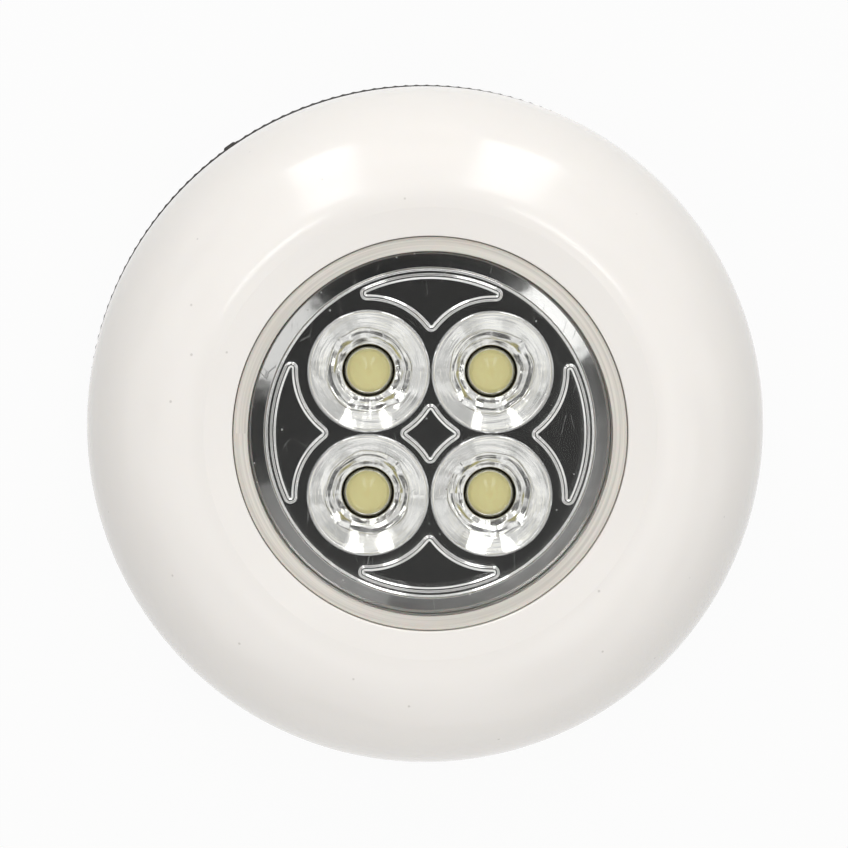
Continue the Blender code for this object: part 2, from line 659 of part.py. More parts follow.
def make_leds(parent):
    epoxy = finish_material("led_epoxy", (0.80, 0.80, 0.50), 0.15)
    barrel = LED_HEIGHT - LED_RADIUS
    profile = [(0, LED_HEIGHT)]
    for step in range(1, LED_TIP_STEPS):
        angle = math.pi / 2 * step / LED_TIP_STEPS
        profile.append((LED_RADIUS * math.sin(angle), barrel + LED_RADIUS * math.cos(angle)))
    profile += [(LED_RADIUS, barrel), (LED_RADIUS, LED_FLANGE_THICK),
                (LED_FLANGE_RADIUS, LED_FLANGE_THICK), (LED_FLANGE_RADIUS, 0), (0, 0)]

    def leads(bm):
        bottom = BOARD_BOTTOM - LEAD_DROP - LED_SEAT
        half = LEAD_WIDTH / 2
        for side in (-1, 1):
            x = side * LEAD_PITCH / 2
            block(bm, (x - half, x + half), (-half, half), (bottom, LED_FLANGE_THICK / 2))

    for number, (x, y) in enumerate(LED_PLACES):
        name = f"led_{number + 1}"
        led = shape(name, lambda bm: turned(bm, profile, SMALL_STEPS), epoxy, (x, y, LED_SEAT), parent)
        combine(led, "UNION", name + "_leads", leads).parent = led


def make_resistor(parent):
    beige = finish_material("resistor_lacquer", (0.62, 0.50, 0.32), 0.35)
    half = RESISTOR_LENGTH / 2
    cap = half - RESISTOR_CAP
    profile = [(0, half), (RESISTOR_RADIUS - RESISTOR_LEAD, half), (RESISTOR_RADIUS, half - RESISTOR_LEAD),
               (RESISTOR_RADIUS, cap), (RESISTOR_WAIST, cap - RESISTOR_LEAD),
               (RESISTOR_WAIST, RESISTOR_LEAD - cap), (RESISTOR_RADIUS, -cap),
               (RESISTOR_RADIUS, RESISTOR_LEAD - half), (RESISTOR_RADIUS - RESISTOR_LEAD, -half), (0, -half)]
    lay = Matrix.Rotation(math.pi / 2, 4, "Y")

    def body(bm):
        turned(bm, profile, TINY_STEPS)
        bmesh.ops.transform(bm, matrix=lay, verts=bm.verts)

    def leads(bm):
        down = BOARD_BOTTOM - BOARD_TOP - FIT - RESISTOR_RADIUS
        out = RESISTOR_LEAD_PITCH / 2
        bend = arc_points((out - RESISTOR_BEND, -RESISTOR_BEND), RESISTOR_BEND, math.pi / 2, 0)
        for side in (-1, 1):
            route = [(half - RESISTOR_CAP, 0)] + bend + [(out, down)]
            tube(bm, [Vector((side * x, 0, z)) for x, z in route], RESISTOR_LEAD, (0, 1, 0))

    place = (RESISTOR_X, RESISTOR_Y, BOARD_TOP + FIT + RESISTOR_RADIUS)
    resistor = shape("resistor", body, beige, place, parent)
    combine(resistor, "UNION", "resistor_leads", leads).parent = resistor


def make_switch(parent):
    shell = finish_material("switch_shell", (0.05, 0.05, 0.05), 0.4)
    half = SWITCH_SIZE / 2
    body = shape("switch_body", lambda bm: block(
        bm, (SWITCH_X - half, SWITCH_X + half), (-half, half), (SWITCH_BOTTOM, SWITCH_TOP)),
        shell, parent=parent)
    bottom = PLUNGER_BOTTOM - PRESS_TRAVEL - FIT

    def bore(bm):
        lid = SWITCH_TOP - SWITCH_LID
        turned(bm, [(0, SWITCH_TOP + FIT), (PLUNGER_RADIUS + FIT, SWITCH_TOP + FIT),
                    (PLUNGER_RADIUS + FIT, lid), (SWITCH_BORE, lid), (SWITCH_BORE, bottom), (0, bottom)],
               SMALL_STEPS)
        bmesh.ops.translate(bm, verts=bm.verts, vec=(SWITCH_X, 0, 0))

    combine(body, "DIFFERENCE", "switch_bore", bore)


def make_plunger(parent):
    white = finish_material("plunger_nylon", (0.85, 0.85, 0.82), 0.4)
    foot = PLUNGER_FOOT
    top = PLUNGER_TOP - PLUNGER_BOTTOM
    profile = [(0, top), (PLUNGER_RADIUS, top), (PLUNGER_RADIUS, foot),
               (PLUNGER_FOOT_RADIUS, foot), (PLUNGER_FOOT_RADIUS, 0), (0, 0)]
    shape("switch_plunger", lambda bm: turned(bm, profile, SMALL_STEPS), white, parent=parent)


def make_screw(name, parent, place, sizes, head_down):
    """A round-headed screw; its shank runs to +Z from the head, or to -Z if the head is on top."""
    steel = finish_material(name + "_zinc", (0.70, 0.70, 0.72), 0.3, 1.0)
    shank_radius, length, head_radius, head_height = sizes
    crown = head_height / 2
    profile = [(0, length), (shank_radius / 2, length), (shank_radius, length - shank_radius),
               (shank_radius, 0), (head_radius, 0), (head_radius, -crown),
               (head_radius - crown, -head_height), (0, -head_height)]
    screw = shape(name, lambda bm: turned(bm, profile, TINY_STEPS), steel, place, parent)
    slot = shank_radius * CROSS_SLOT_SHARE

    def cross(bm):
        reach = head_radius * CROSS_REACH_SHARE
        arms = [(slot, slot), (slot, reach), (-slot, reach), (-slot, slot), (-reach, slot), (-reach, -slot),
                (-slot, -slot), (-slot, -reach), (slot, -reach), (slot, -slot), (reach, -slot), (reach, slot)]
        prism(bm, arms, -head_height - FIT, -crown)

    combine(screw, "DIFFERENCE", name + "_cross", cross).parent = screw
    if not head_down:
        screw.rotation_euler = (math.pi, 0, 0)


def make_board_screws(parent):
    sizes = (BOARD_SCREW_RADIUS, BOARD_SCREW_LENGTH, BOARD_HEAD_RADIUS, BOARD_HEAD_HEIGHT)
    for number, (x, y) in enumerate(BOARD_SCREWS):
        make_screw(f"board_screw_{number + 1}", parent, (x, y, BOARD_TOP + FIT), sizes, False)


def make_return_springs(parent):
    wire = finish_material("spring_wire", (0.60, 0.60, 0.61), 0.25, 1.0)
    path = coil_path(SPRING_TURNS, SPRING_RADIUS, SPRING_RADIUS, SPRING_LENGTH - 2 * SPRING_WIRE)
    print("return spring, least gap in mm:", round(coil_gap(path, SPRING_WIRE) / MM, 3))
    for number, angle in enumerate(SPRING_ANGLES):
        place = (*polar(SPRING_CIRCLE, angle), SPRING_BOTTOM + SPRING_WIRE)
        shape(f"return_spring_{number + 1}", lambda bm: tube(bm, path, SPRING_WIRE), wire, place, parent)


def make_lead(name, colour, parent, side):
    """A battery lead from its solder tab, over the end of the bay and along its slot to the board."""
    insulation = finish_material(name + "_insulation", colour, 0.45)
    x = -side * CELL_PITCH
    run = DECK_BOTTOM + LEAD_RADIUS
    tab_top = TAB_LEVEL + PLATE_THICK + FIT
    out = BAY_END + TAB_LENGTH - LEAD_SLOT / 2
    bend = arc_points((out - LEAD_BEND, run - LEAD_BEND), LEAD_BEND, 0, math.pi / 2)
    end = WINDOW_HALF_Y - LEAD_BEND
    route = [(x, out, tab_top)] + [(x, y, z) for y, z in bend]
    route += [(x, (out + end) / 2, run), (x, end, run), (x * LEAD_DRAW_IN, end - LEAD_BEND, run)]
    curve = bpy.data.curves.new(name, "CURVE")
    curve.dimensions = "3D"
    curve.bevel_depth = LEAD_RADIUS
    curve.bevel_resolution = 2
    curve.use_fill_caps = True
    spline = curve.splines.new("POLY")
    spline.points.add(len(route) - 1)
    for point, (px, py, pz) in zip(spline.points, route):
        point.co = (px, side * py, pz, 1.0)
    curve.materials.append(insulation)
    add_object(name, curve, parent=parent)


# The dome and what moves with it

def shoulder_arc(inset, steps=SHOULDER_STEPS):
    """The dome's shoulder from its crest to its skirt, a quarter ellipse, drawn in by a wall's share."""
    arc = []
    for step in range(steps + 1):
        angle = math.pi / 2 * step / steps
        arc.append((CREST_RADIUS + (SHOULDER_WIDTH - inset) * math.sin(angle),
                    SHOULDER_BASE + (SHOULDER_HEIGHT - inset) * math.cos(angle)))
    return arc


def make_dome(parent):
    cream = finish_material("cream_moulding", (0.87, 0.85, 0.79), 0.12)
    inner = shoulder_arc(DOME_WALL, INNER_STEPS)
    roof = inner[0][1]
    opening = CREST - OPENING_DROP
    profile = [(OPENING_RADIUS, opening - OPENING_EDGE), (OPENING_RADIUS + OPENING_EDGE, opening)]
    profile += shoulder_arc(0.0)
    profile += [(DOME_RADIUS, DOME_EDGE), (DOME_RADIUS - DOME_WALL, DOME_EDGE)]
    profile += inner[::-1]
    profile += [(COLLAR_RADIUS, roof), (COLLAR_RADIUS, COLLAR_END), (OPENING_RADIUS, COLLAR_END)]
    dome = shape("dome_cap", lambda bm: turned(bm, profile), cream, parent=parent)

    middle = shoulder_arc(DOME_WALL / 2, INNER_STEPS)
    below = BARB_BOTTOM - FIT
    envelope_profile = [(0, middle[0][1])] + middle + [(middle[-1][0], below), (0, below)]

    def inside_pieces(bm):
        for angle in EAR_ANGLES:
            x, y = polar(EAR_CIRCLE, angle)
            rod(bm, EAR_RADIUS, FLANGE_TOP + FIT, CREST, x, y)
        for angle in SPRING_ANGLES:
            x, y = polar(SPRING_CIRCLE, angle)
            rod(bm, SPRING_SEAT_RADIUS, SPRING_TOP + FIT, CREST, x, y)
        rod(bm, PRESS_POST_RADIUS, PLUNGER_TOP + FIT, CREST, SWITCH_X, 0)
        hook = [(HOOK_INNER - HOOK_BARB, BARB_TOP), (HOOK_INNER - HOOK_BARB, BARB_TOP - HOOK_BARB_HEIGHT / 2),
                (HOOK_INNER - HOOK_BARB / 2, BARB_BOTTOM), (HOOK_OUTER, BARB_BOTTOM), (HOOK_OUTER, CREST),
                (HOOK_INNER, CREST), (HOOK_INNER, BARB_TOP)]
        for angle in HOOK_ANGLES:
            stand = Matrix.Rotation(angle, 4, "Z") @ Matrix.Rotation(math.pi / 2, 4, "X")
            moved(bm, stand, lambda: prism(bm, hook, -HOOK_WIDTH / 2, HOOK_WIDTH / 2))

    def screw_holes(bm):
        for angle in EAR_ANGLES:
            x, y = polar(EAR_CIRCLE, angle)
            end = FLANGE_BOTTOM + EAR_SCREW_LENGTH + FIT
            rod(bm, EAR_SCREW_RADIUS + FIT, FLANGE_TOP, end, x, y, TINY_STEPS)

    tool = combine(dome, "UNION", "dome_bosses_and_hooks", inside_pieces)
    combine(tool, "INTERSECT", "dome_envelope", lambda bm: turned(bm, envelope_profile))
    combine(dome, "DIFFERENCE", "dome_screw_holes", screw_holes)


def make_lens(parent):
    clear = finish_material("clear_styrene", (0.90, 0.92, 0.90), 0.03)
    profile = [(0, LENS_TOP), (LENS_RADIUS - LENS_CHAMFER, LENS_TOP), (LENS_RADIUS, LENS_TOP - LENS_CHAMFER),
               (LENS_RADIUS, LENS_FOOT_TOP), (LENS_FOOT_RADIUS, LENS_FOOT_TOP),
               (LENS_FOOT_RADIUS, LENS_FOOT_BOTTOM), (LENS_SKIRT_BORE, LENS_FOOT_BOTTOM),
               (LENS_SKIRT_BORE, LENS_UNDER), (0, LENS_UNDER)]
    shape("lens", lambda bm: turned(bm, profile), clear, parent=parent)


def bowl_hollow_profile():
    """Outline of a bowl's hollow, whose wall is a parabola from the floor to the rim."""
    outline = [(0, REFLECTOR_FACE + RELIEF_HEIGHT), (BOWL_RIM, REFLECTOR_FACE + RELIEF_HEIGHT)]
    for step in range(BOWL_STEPS, -1, -1):
        radius = BOWL_FLOOR + (BOWL_RIM - BOWL_FLOOR) * step / BOWL_STEPS
        rise = (radius ** 2 - BOWL_FLOOR ** 2) / (BOWL_RIM ** 2 - BOWL_FLOOR ** 2)
        outline.append((radius, BOWL_BOTTOM + BOWL_DEPTH * rise))
    outline.append((0, BOWL_BOTTOM))
    return outline


def bowl_shell_profile():
    """Outline of the cone round a bowl, which stays clear of the next bowl's."""
    top = REFLECTOR_FACE - REFLECTOR_PLATE / 2
    bottom = BOWL_BOTTOM - BOWL_WALL
    return [(0, top), (LED_SPREAD - BOWL_APART / 2, top), (BOWL_FLOOR + BOWL_WALL, bottom), (0, bottom)]


def crescent_outline():
    """The crescent between the two upper bowls: an outer arc, and one hollow arc round each bowl."""
    squares = CRESCENT_RADIUS ** 2 + BOWL_CIRCLE ** 2 - CRESCENT_HOLLOW ** 2
    cosine = squares / (2 * CRESCENT_RADIUS * BOWL_CIRCLE)
    tip = math.pi / 4 + math.acos(cosine)
    outer = arc_points((0, 0), CRESCENT_RADIUS, tip, math.pi - tip)
    end_x, end_y = polar(CRESCENT_RADIUS, tip)
    corner = math.atan2(end_y - LED_SPREAD, end_x - LED_SPREAD)
    middle = math.pi - math.acos(LED_SPREAD / CRESCENT_HOLLOW)
    right = arc_points((LED_SPREAD, LED_SPREAD), CRESCENT_HOLLOW, corner, middle)
    left = [(-x, y) for x, y in right]
    return outer + left[1:] + right[::-1][1:-1]


def diamond_outline():
    """Four tips on the axes, joined by arcs struck from the bowls' centres."""
    radius = math.hypot(LED_SPREAD - DIAMOND_TIP, LED_SPREAD)
    swing = math.atan2(LED_SPREAD, LED_SPREAD - DIAMOND_TIP) - math.pi / 4
    outline = []
    for quarter in range(4):
        middle = math.pi / 4 + quarter * math.pi / 2
        centre = polar(BOWL_CIRCLE, middle)
        outline += arc_points(centre, radius, middle + math.pi + swing, middle + math.pi - swing)[:-1]
    return outline


def make_reflector(parent):
    chrome = finish_material("metallised_plastic", (0.90, 0.91, 0.92), 0.05, 1.0)
    bore = REFLECTOR_RADIUS - REFLECTOR_WALL
    half = RIDGE_WIDTH / 2
    raised = REFLECTOR_FACE + RELIEF_HEIGHT
    profile = [(0, REFLECTOR_FACE), (RIDGE_RADIUS - half, REFLECTOR_FACE), (RIDGE_RADIUS, raised),
               (RIDGE_RADIUS + half, REFLECTOR_FACE), (REFLECTOR_RADIUS, REFLECTOR_FACE),
               (REFLECTOR_RADIUS, FLANGE_TOP), (LENS_FOOT_RADIUS, FLANGE_TOP),
               (LENS_FOOT_RADIUS, FLANGE_BOTTOM), (bore, FLANGE_BOTTOM),
               (bore, REFLECTOR_FACE - REFLECTOR_PLATE), (0, REFLECTOR_FACE - REFLECTOR_PLATE)]
    off_axes = math.pi / ROUND_STEPS
    reflector = shape("reflector", lambda bm: turned(bm, profile, start=off_axes), chrome, parent=parent)

    def ears(bm):
        root = LENS_FOOT_RADIUS - 2 * BITE
        outline = [(root, -EAR_RADIUS)] + arc_points((EAR_CIRCLE, 0), EAR_RADIUS, -math.pi / 2, math.pi / 2)
        outline.append((root, EAR_RADIUS))
        for angle in EAR_ANGLES:
            spin = Matrix.Rotation(angle, 2)
            prism(bm, [spin @ Vector(point) for point in outline],
                  FLANGE_BOTTOM + EAR_STEP, FLANGE_TOP - EAR_STEP)

    def bowls(profile, steps, start=0.0):
        def draw(bm):
            for x, y in LED_PLACES:
                moved(bm, Matrix.Translation((x, y, 0)), lambda: turned(bm, profile, steps, start))
        return draw

    def holes(bm):
        for x, y in LED_PLACES:
            rod(bm, LED_RADIUS + FIT, BOWL_BOTTOM - 2 * BOWL_WALL, BOWL_BOTTOM + BITE, x, y)
        for angle in EAR_ANGLES:
            x, y = polar(EAR_CIRCLE, angle)
            rod(bm, EAR_SCREW_RADIUS + FIT, FLANGE_BOTTOM - FIT, FLANGE_TOP + FIT, x, y, TINY_STEPS)

    def relief(bm):
        levels = (REFLECTOR_FACE - BITE, raised)
        prism(bm, diamond_outline(), *levels)
        for quarter in range(4):
            spin = Matrix.Rotation(quarter * math.pi / 2, 2)
            prism(bm, [spin @ Vector(point) for point in crescent_outline()], *levels)

    combine(reflector, "UNION", "reflector_ears", ears)
    combine(reflector, "UNION", "reflector_relief", relief)
    half_step = math.pi / SHELL_STEPS
    combine(reflector, "UNION", "bowl_shells", bowls(bowl_shell_profile(), SHELL_STEPS, half_step))
    combine(reflector, "DIFFERENCE", "bowl_hollows", bowls(bowl_hollow_profile(), SMALL_STEPS))
    combine(reflector, "DIFFERENCE", "reflector_holes", holes)


def make_reflector_screws(parent):
    sizes = (EAR_SCREW_RADIUS, EAR_SCREW_LENGTH, EAR_HEAD_RADIUS, EAR_HEAD_HEIGHT)
    for number, angle in enumerate(EAR_ANGLES):
        place = (*polar(EAR_CIRCLE, angle), FLANGE_BOTTOM - FIT)
        make_screw(f"reflector_screw_{number + 1}", parent, place, sizes, True)


def main():
    clear_scene()
    make_pad()
    make_back_cover()

    twist = joint_axis("lock_twist_axis", (0, 0, 0))
    make_holder(twist)
    make_cells(twist)
    make_contacts(twist)
    make_board(twist)
    make_board_screws(twist)
    make_leds(twist)
    make_resistor(twist)
    make_switch(twist)
    make_return_springs(twist)
    make_lead("battery_lead_positive", (0.60, 0.03, 0.02), twist, 1)
    make_lead("battery_lead_negative", (0.02, 0.02, 0.02), twist, -1)
    make_plunger(joint_axis("plunger_travel_axis", (SWITCH_X, 0, PLUNGER_BOTTOM), twist))

    press = joint_axis("dome_press_axis", (0, 0, 0), twist)
    make_dome(press)
    make_lens(press)
    make_reflector(press)
    make_reflector_screws(press)


main()
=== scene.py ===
"""Looks of a round stick-on LED push light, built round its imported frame.

The light lies on its back on a pale floor: +Z points out through the lens and +Y is its top.
Every object is in metres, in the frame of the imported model.
"""

import math

import bmesh
import bpy
from bpy.props import FloatProperty, FloatVectorProperty, IntProperty, PointerProperty
from mathutils import Matrix, Vector


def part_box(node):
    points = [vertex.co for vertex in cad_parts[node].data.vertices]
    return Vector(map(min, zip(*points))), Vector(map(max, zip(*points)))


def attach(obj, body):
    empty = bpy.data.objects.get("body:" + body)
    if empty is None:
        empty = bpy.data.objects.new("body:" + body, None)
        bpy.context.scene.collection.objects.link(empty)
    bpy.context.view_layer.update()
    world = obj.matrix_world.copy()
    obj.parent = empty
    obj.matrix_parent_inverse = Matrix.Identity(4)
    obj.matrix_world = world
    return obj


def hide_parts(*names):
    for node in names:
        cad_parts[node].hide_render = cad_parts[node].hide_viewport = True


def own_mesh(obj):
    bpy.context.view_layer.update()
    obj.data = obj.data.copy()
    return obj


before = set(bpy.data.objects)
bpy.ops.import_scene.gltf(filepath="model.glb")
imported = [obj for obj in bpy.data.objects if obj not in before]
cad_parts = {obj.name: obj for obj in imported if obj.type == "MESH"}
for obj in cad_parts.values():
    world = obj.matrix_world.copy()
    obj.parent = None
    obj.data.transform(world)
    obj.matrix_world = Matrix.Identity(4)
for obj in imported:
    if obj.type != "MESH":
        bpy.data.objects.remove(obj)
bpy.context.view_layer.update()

bl_info = {
    "name": "Stick-on LED Light",
    "version": (1, 0, 0),
    "blender": (4, 5, 0),
    "location": "View3D > Sidebar > LED Light",
    "description": "Builds the visible pieces of a round push light with four LEDs",
    "category": "Add Mesh",
}

MM = 0.001

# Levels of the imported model, in metres
PAD_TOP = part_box("adhesive_pad")[1].z
COVER_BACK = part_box("back_cover")[0].z
COVER_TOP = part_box("back_cover")[1].z
COVER_INSIDE = COVER_BACK + 1.6 * MM
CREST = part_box("dome_cap")[1].z
LENS_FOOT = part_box("lens")[0].z
LENS_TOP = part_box("lens")[1].z
FLANGE_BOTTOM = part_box("reflector")[0].z
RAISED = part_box("reflector")[1].z
LED_BASE = 16.5 * MM
LED_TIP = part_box("led_1")[1].z

# The return springs: how far out they stand, their foot and their length
SPRING_CIRCLE = 27.0 * MM
SPRING_FOOT = 15.0 * MM
SPRING_LENGTH = 5.5 * MM

# Places round the light's axis in degrees: the rim's tab, the liner's lift tab, lugs, bosses and springs
TAB_ANGLE = 125.6
LIFT_ANGLE = -60
LUG_ANGLES = (45, 165, 285)
BOSS_ANGLES = (90, 210, 330)
SPRING_ANGLES = (30, 150, 270)

# The dome's screw bosses and the reflector's ears under them
BOSS_CIRCLE = 22.6 * MM
BOSS_RADIUS = 2.6 * MM
BOSS_BORE = 1.3 * MM
# The foot flange of the lens and of the reflector
FLANGE_RADIUS = 19.7 * MM
# How far the cells' middles lie from the light's, each towards its button
CELL_OFFSET = 2.25 * MM

# Fineness of round surfaces
ROUND = 288
MEDIUM = 96
SMALL = 40
FILLET_STEPS = 5
# Points nearer to each other than this are one
SAME_PLACE = 1e-7


def linear(hex_colour):
    """The linear colour of an sRGB hex value such as F1EEE8."""
    channels = [int(hex_colour[i:i + 2], 16) / 255 for i in (0, 2, 4)]
    return tuple(c / 12.92 if c <= 0.04045 else ((c + 0.055) / 1.055) ** 2.4 for c in channels)


def colour_property(name, description, hex_colour):
    return FloatVectorProperty(name=name, description=description, subtype="COLOR", size=3,
                               min=0.0, max=1.0, default=linear(hex_colour))


def length_property(name, description, millimetres):
    return FloatProperty(name=name, description=description, subtype="DISTANCE", unit="LENGTH",
                         min=0.0, default=millimetres * MM, precision=5)


class LedLightSizes(bpy.types.PropertyGroup):
    """Sizes of the visible pieces."""

    dome_radius: length_property("Dome radius", "Outer radius of the dome's skirt", 34.35)
    crest_radius: length_property("Crest radius", "Radius of the dome's highest line", 21.5)
    shoulder_height: length_property("Shoulder height", "Height of the dome's rounded shoulder", 15.0)
    dome_wall: length_property("Dome wall", "Thickness of the dome's wall", 1.3)
    opening_radius: length_property("Opening radius", "Radius of the dome's opening for the lens", 18.83)
    lens_radius: length_property("Lens radius", "Outer radius of the lens", 18.78)
    lens_thickness: length_property("Lens thickness", "Thickness of the lens plate", 1.3)
    reflector_radius: length_property("Reflector radius", "Outer radius of the metallised plate", 17.35)
    ridge_radius: length_property("Ridge radius", "Radius of the ridge round the bowls", 15.77)
    led_spread: length_property("LED spread", "Distance of each LED from the two axes", 5.94)
    led_radius: length_property("LED radius", "Radius of an LED's epoxy barrel", 2.5)
    bowl_radius: length_property("Bowl radius", "Radius of a reflector bowl at its rim", 5.64)
    bead_height: length_property("Bead height", "Height of the beads round the islands", 0.18)
    rim_radius: length_property("Rim radius", "Radius at the tips of the knurled rim", 35.34)
    knurl_depth: length_property("Knurl depth", "Depth of the grooves of the knurled rim", 0.13)
    knurl_teeth: IntProperty(name="Knurl teeth", description="Teeth round the rim", default=200, min=12)
    pad_radius: length_property("Pad radius", "Radius of the adhesive foam pad", 25.0)


class LedLightColours(bpy.types.PropertyGroup):
    """Colours of the finishes."""

    cream: colour_property("Cream ABS", "Dome moulding", "F2EEE9")
    black: colour_property("Black ABS", "Knurled back cover", "332F2C")
    holder: colour_property("Black polypropylene", "Battery holder", "28282A")
    frosted: colour_property("Frosted polystyrene", "Rim and skirt of the lens", "E2DDD4")
    phosphor: colour_property("Phosphor", "Yellow phosphor in the LEDs", "FAF0AE")
    foam: colour_property("Foam", "Adhesive foam pad", "EFEEEA")
    liner: colour_property("Release liner", "Waxed paper on the adhesive", "E9DFC3")
    laminate: colour_property("Laminate", "Paper laminate of the circuit board", "B98D4E")
    sleeve: colour_property("Cell sleeve", "Film sleeve of the cells", "2D4468")
    floor: colour_property("Floor", "Studio floor and backdrop", "BDBDBA")


def settings_of(context):
    return context.scene.led_light_sizes, context.scene.led_light_colours


# Shapes

def polar(radius, angle, centre=(0.0, 0.0)):
    return centre[0] + radius * math.cos(angle), centre[1] + radius * math.sin(angle)


def turned(points, degrees):
    """Points turned about the light's axis."""
    turn = Matrix.Rotation(math.radians(degrees), len(points[0]), "Z")
    return [turn @ Vector(point) for point in points]


def ring(radius, z, steps, centre=(0.0, 0.0)):
    """Points of a level circle; a radius of 0 gives the one point on its axis."""
    if radius < SAME_PLACE:
        return [(*centre, z)]
    return [(*polar(radius, 2 * math.pi * i / steps, centre), z) for i in range(steps)]


def skin(bm, rings, closed=False):
    """Faces between rings of points that lie one after the other."""
    loops = [[bm.verts.new(point) for point in points] for points in rings]
    pairs = list(zip(loops, loops[1:]))
    if closed:
        pairs.append((loops[-1], loops[0]))
    for low, high in pairs:
        for i in range(max(len(low), len(high))):
            corners = [low[i - 1], low[i]] if len(low) > 1 else [low[0]]
            corners += [high[i], high[i - 1]] if len(high) > 1 else [high[0]]
            bm.faces.new(corners)
    return loops


def lathe(bm, profile, steps=ROUND, centre=(0.0, 0.0), closed=True):
    """A profile of (radius, z) points turned about an upright axis."""
    return skin(bm, [ring(r, z, steps, centre) for r, z in profile], closed)


def filleted(corners, steps=FILLET_STEPS, closed=True):
    """Points of an outline whose (x, y, fillet radius) corners are rounded."""
    points = []
    for i, (x, y, radius) in enumerate(corners):
        here = Vector((x, y))
        end_corner = not closed and i in (0, len(corners) - 1)
        if radius == 0 or end_corner:
            points.append(tuple(here))
            continue
        back = Vector(corners[i - 1][:2]) - here
        ahead = Vector(corners[(i + 1) % len(corners)][:2]) - here
        reach = radius * math.tan((math.pi - back.angle(ahead)) / 2)
        start, end = here + back.normalized() * reach, here + ahead.normalized() * reach
        for step in range(steps + 1):
            share = step / steps
            points.append(tuple(start.lerp(here, share).lerp(here.lerp(end, share), share)))
    return points


def arc(centre, radius, start, end, steps):
    """Points of an arc, without its last one."""
    return [polar(radius, start + (end - start) * i / steps, centre) for i in range(steps)]


def prism(bm, outline, bottom, top):
    """An outline of (x, y) points drawn up into a closed solid."""
    loops = skin(bm, [[(x, y, z) for x, y in outline] for z in (bottom, top)])
    for loop in loops:
        bm.faces.new(loop)


def tube(bm, path, radius, sides, reference):
    """A closed round tube along a path that never runs along the reference direction."""
    rings = []
    for i, point in enumerate(path):
        ahead = path[min(i + 1, len(path) - 1)] - path[max(i - 1, 0)]
        side = ahead.cross(reference).normalized()
        up = side.cross(ahead).normalized()
        rings.append([point + side * x + up * y for x, y in (
            polar(radius, 2 * math.pi * corner / sides) for corner in range(sides))])
    loops = skin(bm, rings)
    bm.faces.new(loops[0])
    bm.faces.new(loops[-1])


def add_piece(name, draw, material, body, replaced=()):
    """A new visible piece, drawn into a mesh, that rides on a body of the frame."""
    bm = bmesh.new()
    draw(bm)
    bmesh.ops.recalc_face_normals(bm, faces=bm.faces)
    mesh = bpy.data.meshes.new(name)
    bm.to_mesh(mesh)
    bm.free()
    mesh.materials.append(material)
    mesh.shade_smooth()
    piece = bpy.data.objects.new(name, mesh)
    bpy.context.scene.collection.objects.link(piece)
    # keeps flat faces flat beside their fillets
    piece.modifiers.new("weighted_normals", "WEIGHTED_NORMAL").mode = "FACE_AREA_WITH_ANGLE"
    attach(piece, body)
    if replaced:
        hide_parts(*replaced)
    return piece


def refinish(nodes, material):
    """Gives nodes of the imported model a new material."""
    for name in nodes:
        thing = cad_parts[name]
        thing.data.materials.clear()
        thing.data.materials.append(material)


# Materials

def add_node(tree, kind, settings=None):
    """Adds a node; a setting is an attribute, an input's value, or an output to link to an input."""
    node = tree.nodes.new(kind)
    for key, value in (settings or {}).items():
        if isinstance(key, str) and hasattr(node, key):
            setattr(node, key, value)
        elif isinstance(value, bpy.types.NodeSocket):
            tree.links.new(value, node.inputs[key])
        else:
            node.inputs[key].default_value = value
    return node


def maths(tree, operation, *inputs):
    """The result of a Math node on numbers and outputs."""
    settings = {"operation": operation, **dict(enumerate(inputs))}
    return add_node(tree, "ShaderNodeMath", settings).outputs["Value"]


def vector_maths(tree, operation, *inputs):
    """The resulting vector of a Vector Math node."""
    settings = {"operation": operation, **dict(enumerate(inputs))}
    return add_node(tree, "ShaderNodeVectorMath", settings).outputs["Vector"]


def ranged(tree, value, start, end, low=0.0, high=1.0, course="LINEAR"):
    """A value that runs from low to high while another runs from start to end."""
    return add_node(tree, "ShaderNodeMapRange", {
        "interpolation_type": course, "Value": value, "From Min": start, "From Max": end,
        "To Min": low, "To Max": high}).outputs["Result"]


def blend(tree, share, first, second):
    """A colour between two others, each a plain colour or an output."""
    first, second = (end if isinstance(end, bpy.types.NodeSocket) else (*end, 1) for end in (first, second))
    return add_node(tree, "ShaderNodeMix", {"data_type": "RGBA", 0: share, 6: first, 7: second}).outputs[2]


def noise(tree, where, size_mm, detail):
    """Clouds of a size in millimetres."""
    return add_node(tree, "ShaderNodeTexNoise", {
        "Vector": where, "Scale": 1 / (size_mm * MM), "Detail": detail}).outputs["Fac"]


def cells(tree, where, size_mm, feature="F1"):
    """Distance from the middles, or from the edges, of cells of a size in millimetres."""
    return add_node(tree, "ShaderNodeTexVoronoi", {
        "feature": feature, "Vector": where, "Scale": 1 / (size_mm * MM)}).outputs["Distance"]


def bump(tree, height, depth_mm, over=None):
    """The bent normal of a height, on top of another bump where one is given."""
    settings = {"Height": height, "Distance": depth_mm * MM}
    if over:
        settings["Normal"] = over
    return add_node(tree, "ShaderNodeBump", settings).outputs["Normal"]


def object_place(tree):
    return add_node(tree, "ShaderNodeTexCoord").outputs["Object"]


def shaded(colour, factor):
    return tuple(channel * factor for channel in colour)


def base_material(name, sockets):
    """A material with one Principled shader, whose plain values sit on its own sockets."""
    material = bpy.data.materials.new(name)
    material.use_nodes = True
    shader = material.node_tree.nodes["Principled BSDF"]
    for key, value in sockets.items():
        shader.inputs[key].default_value = value
    return material, material.node_tree, shader


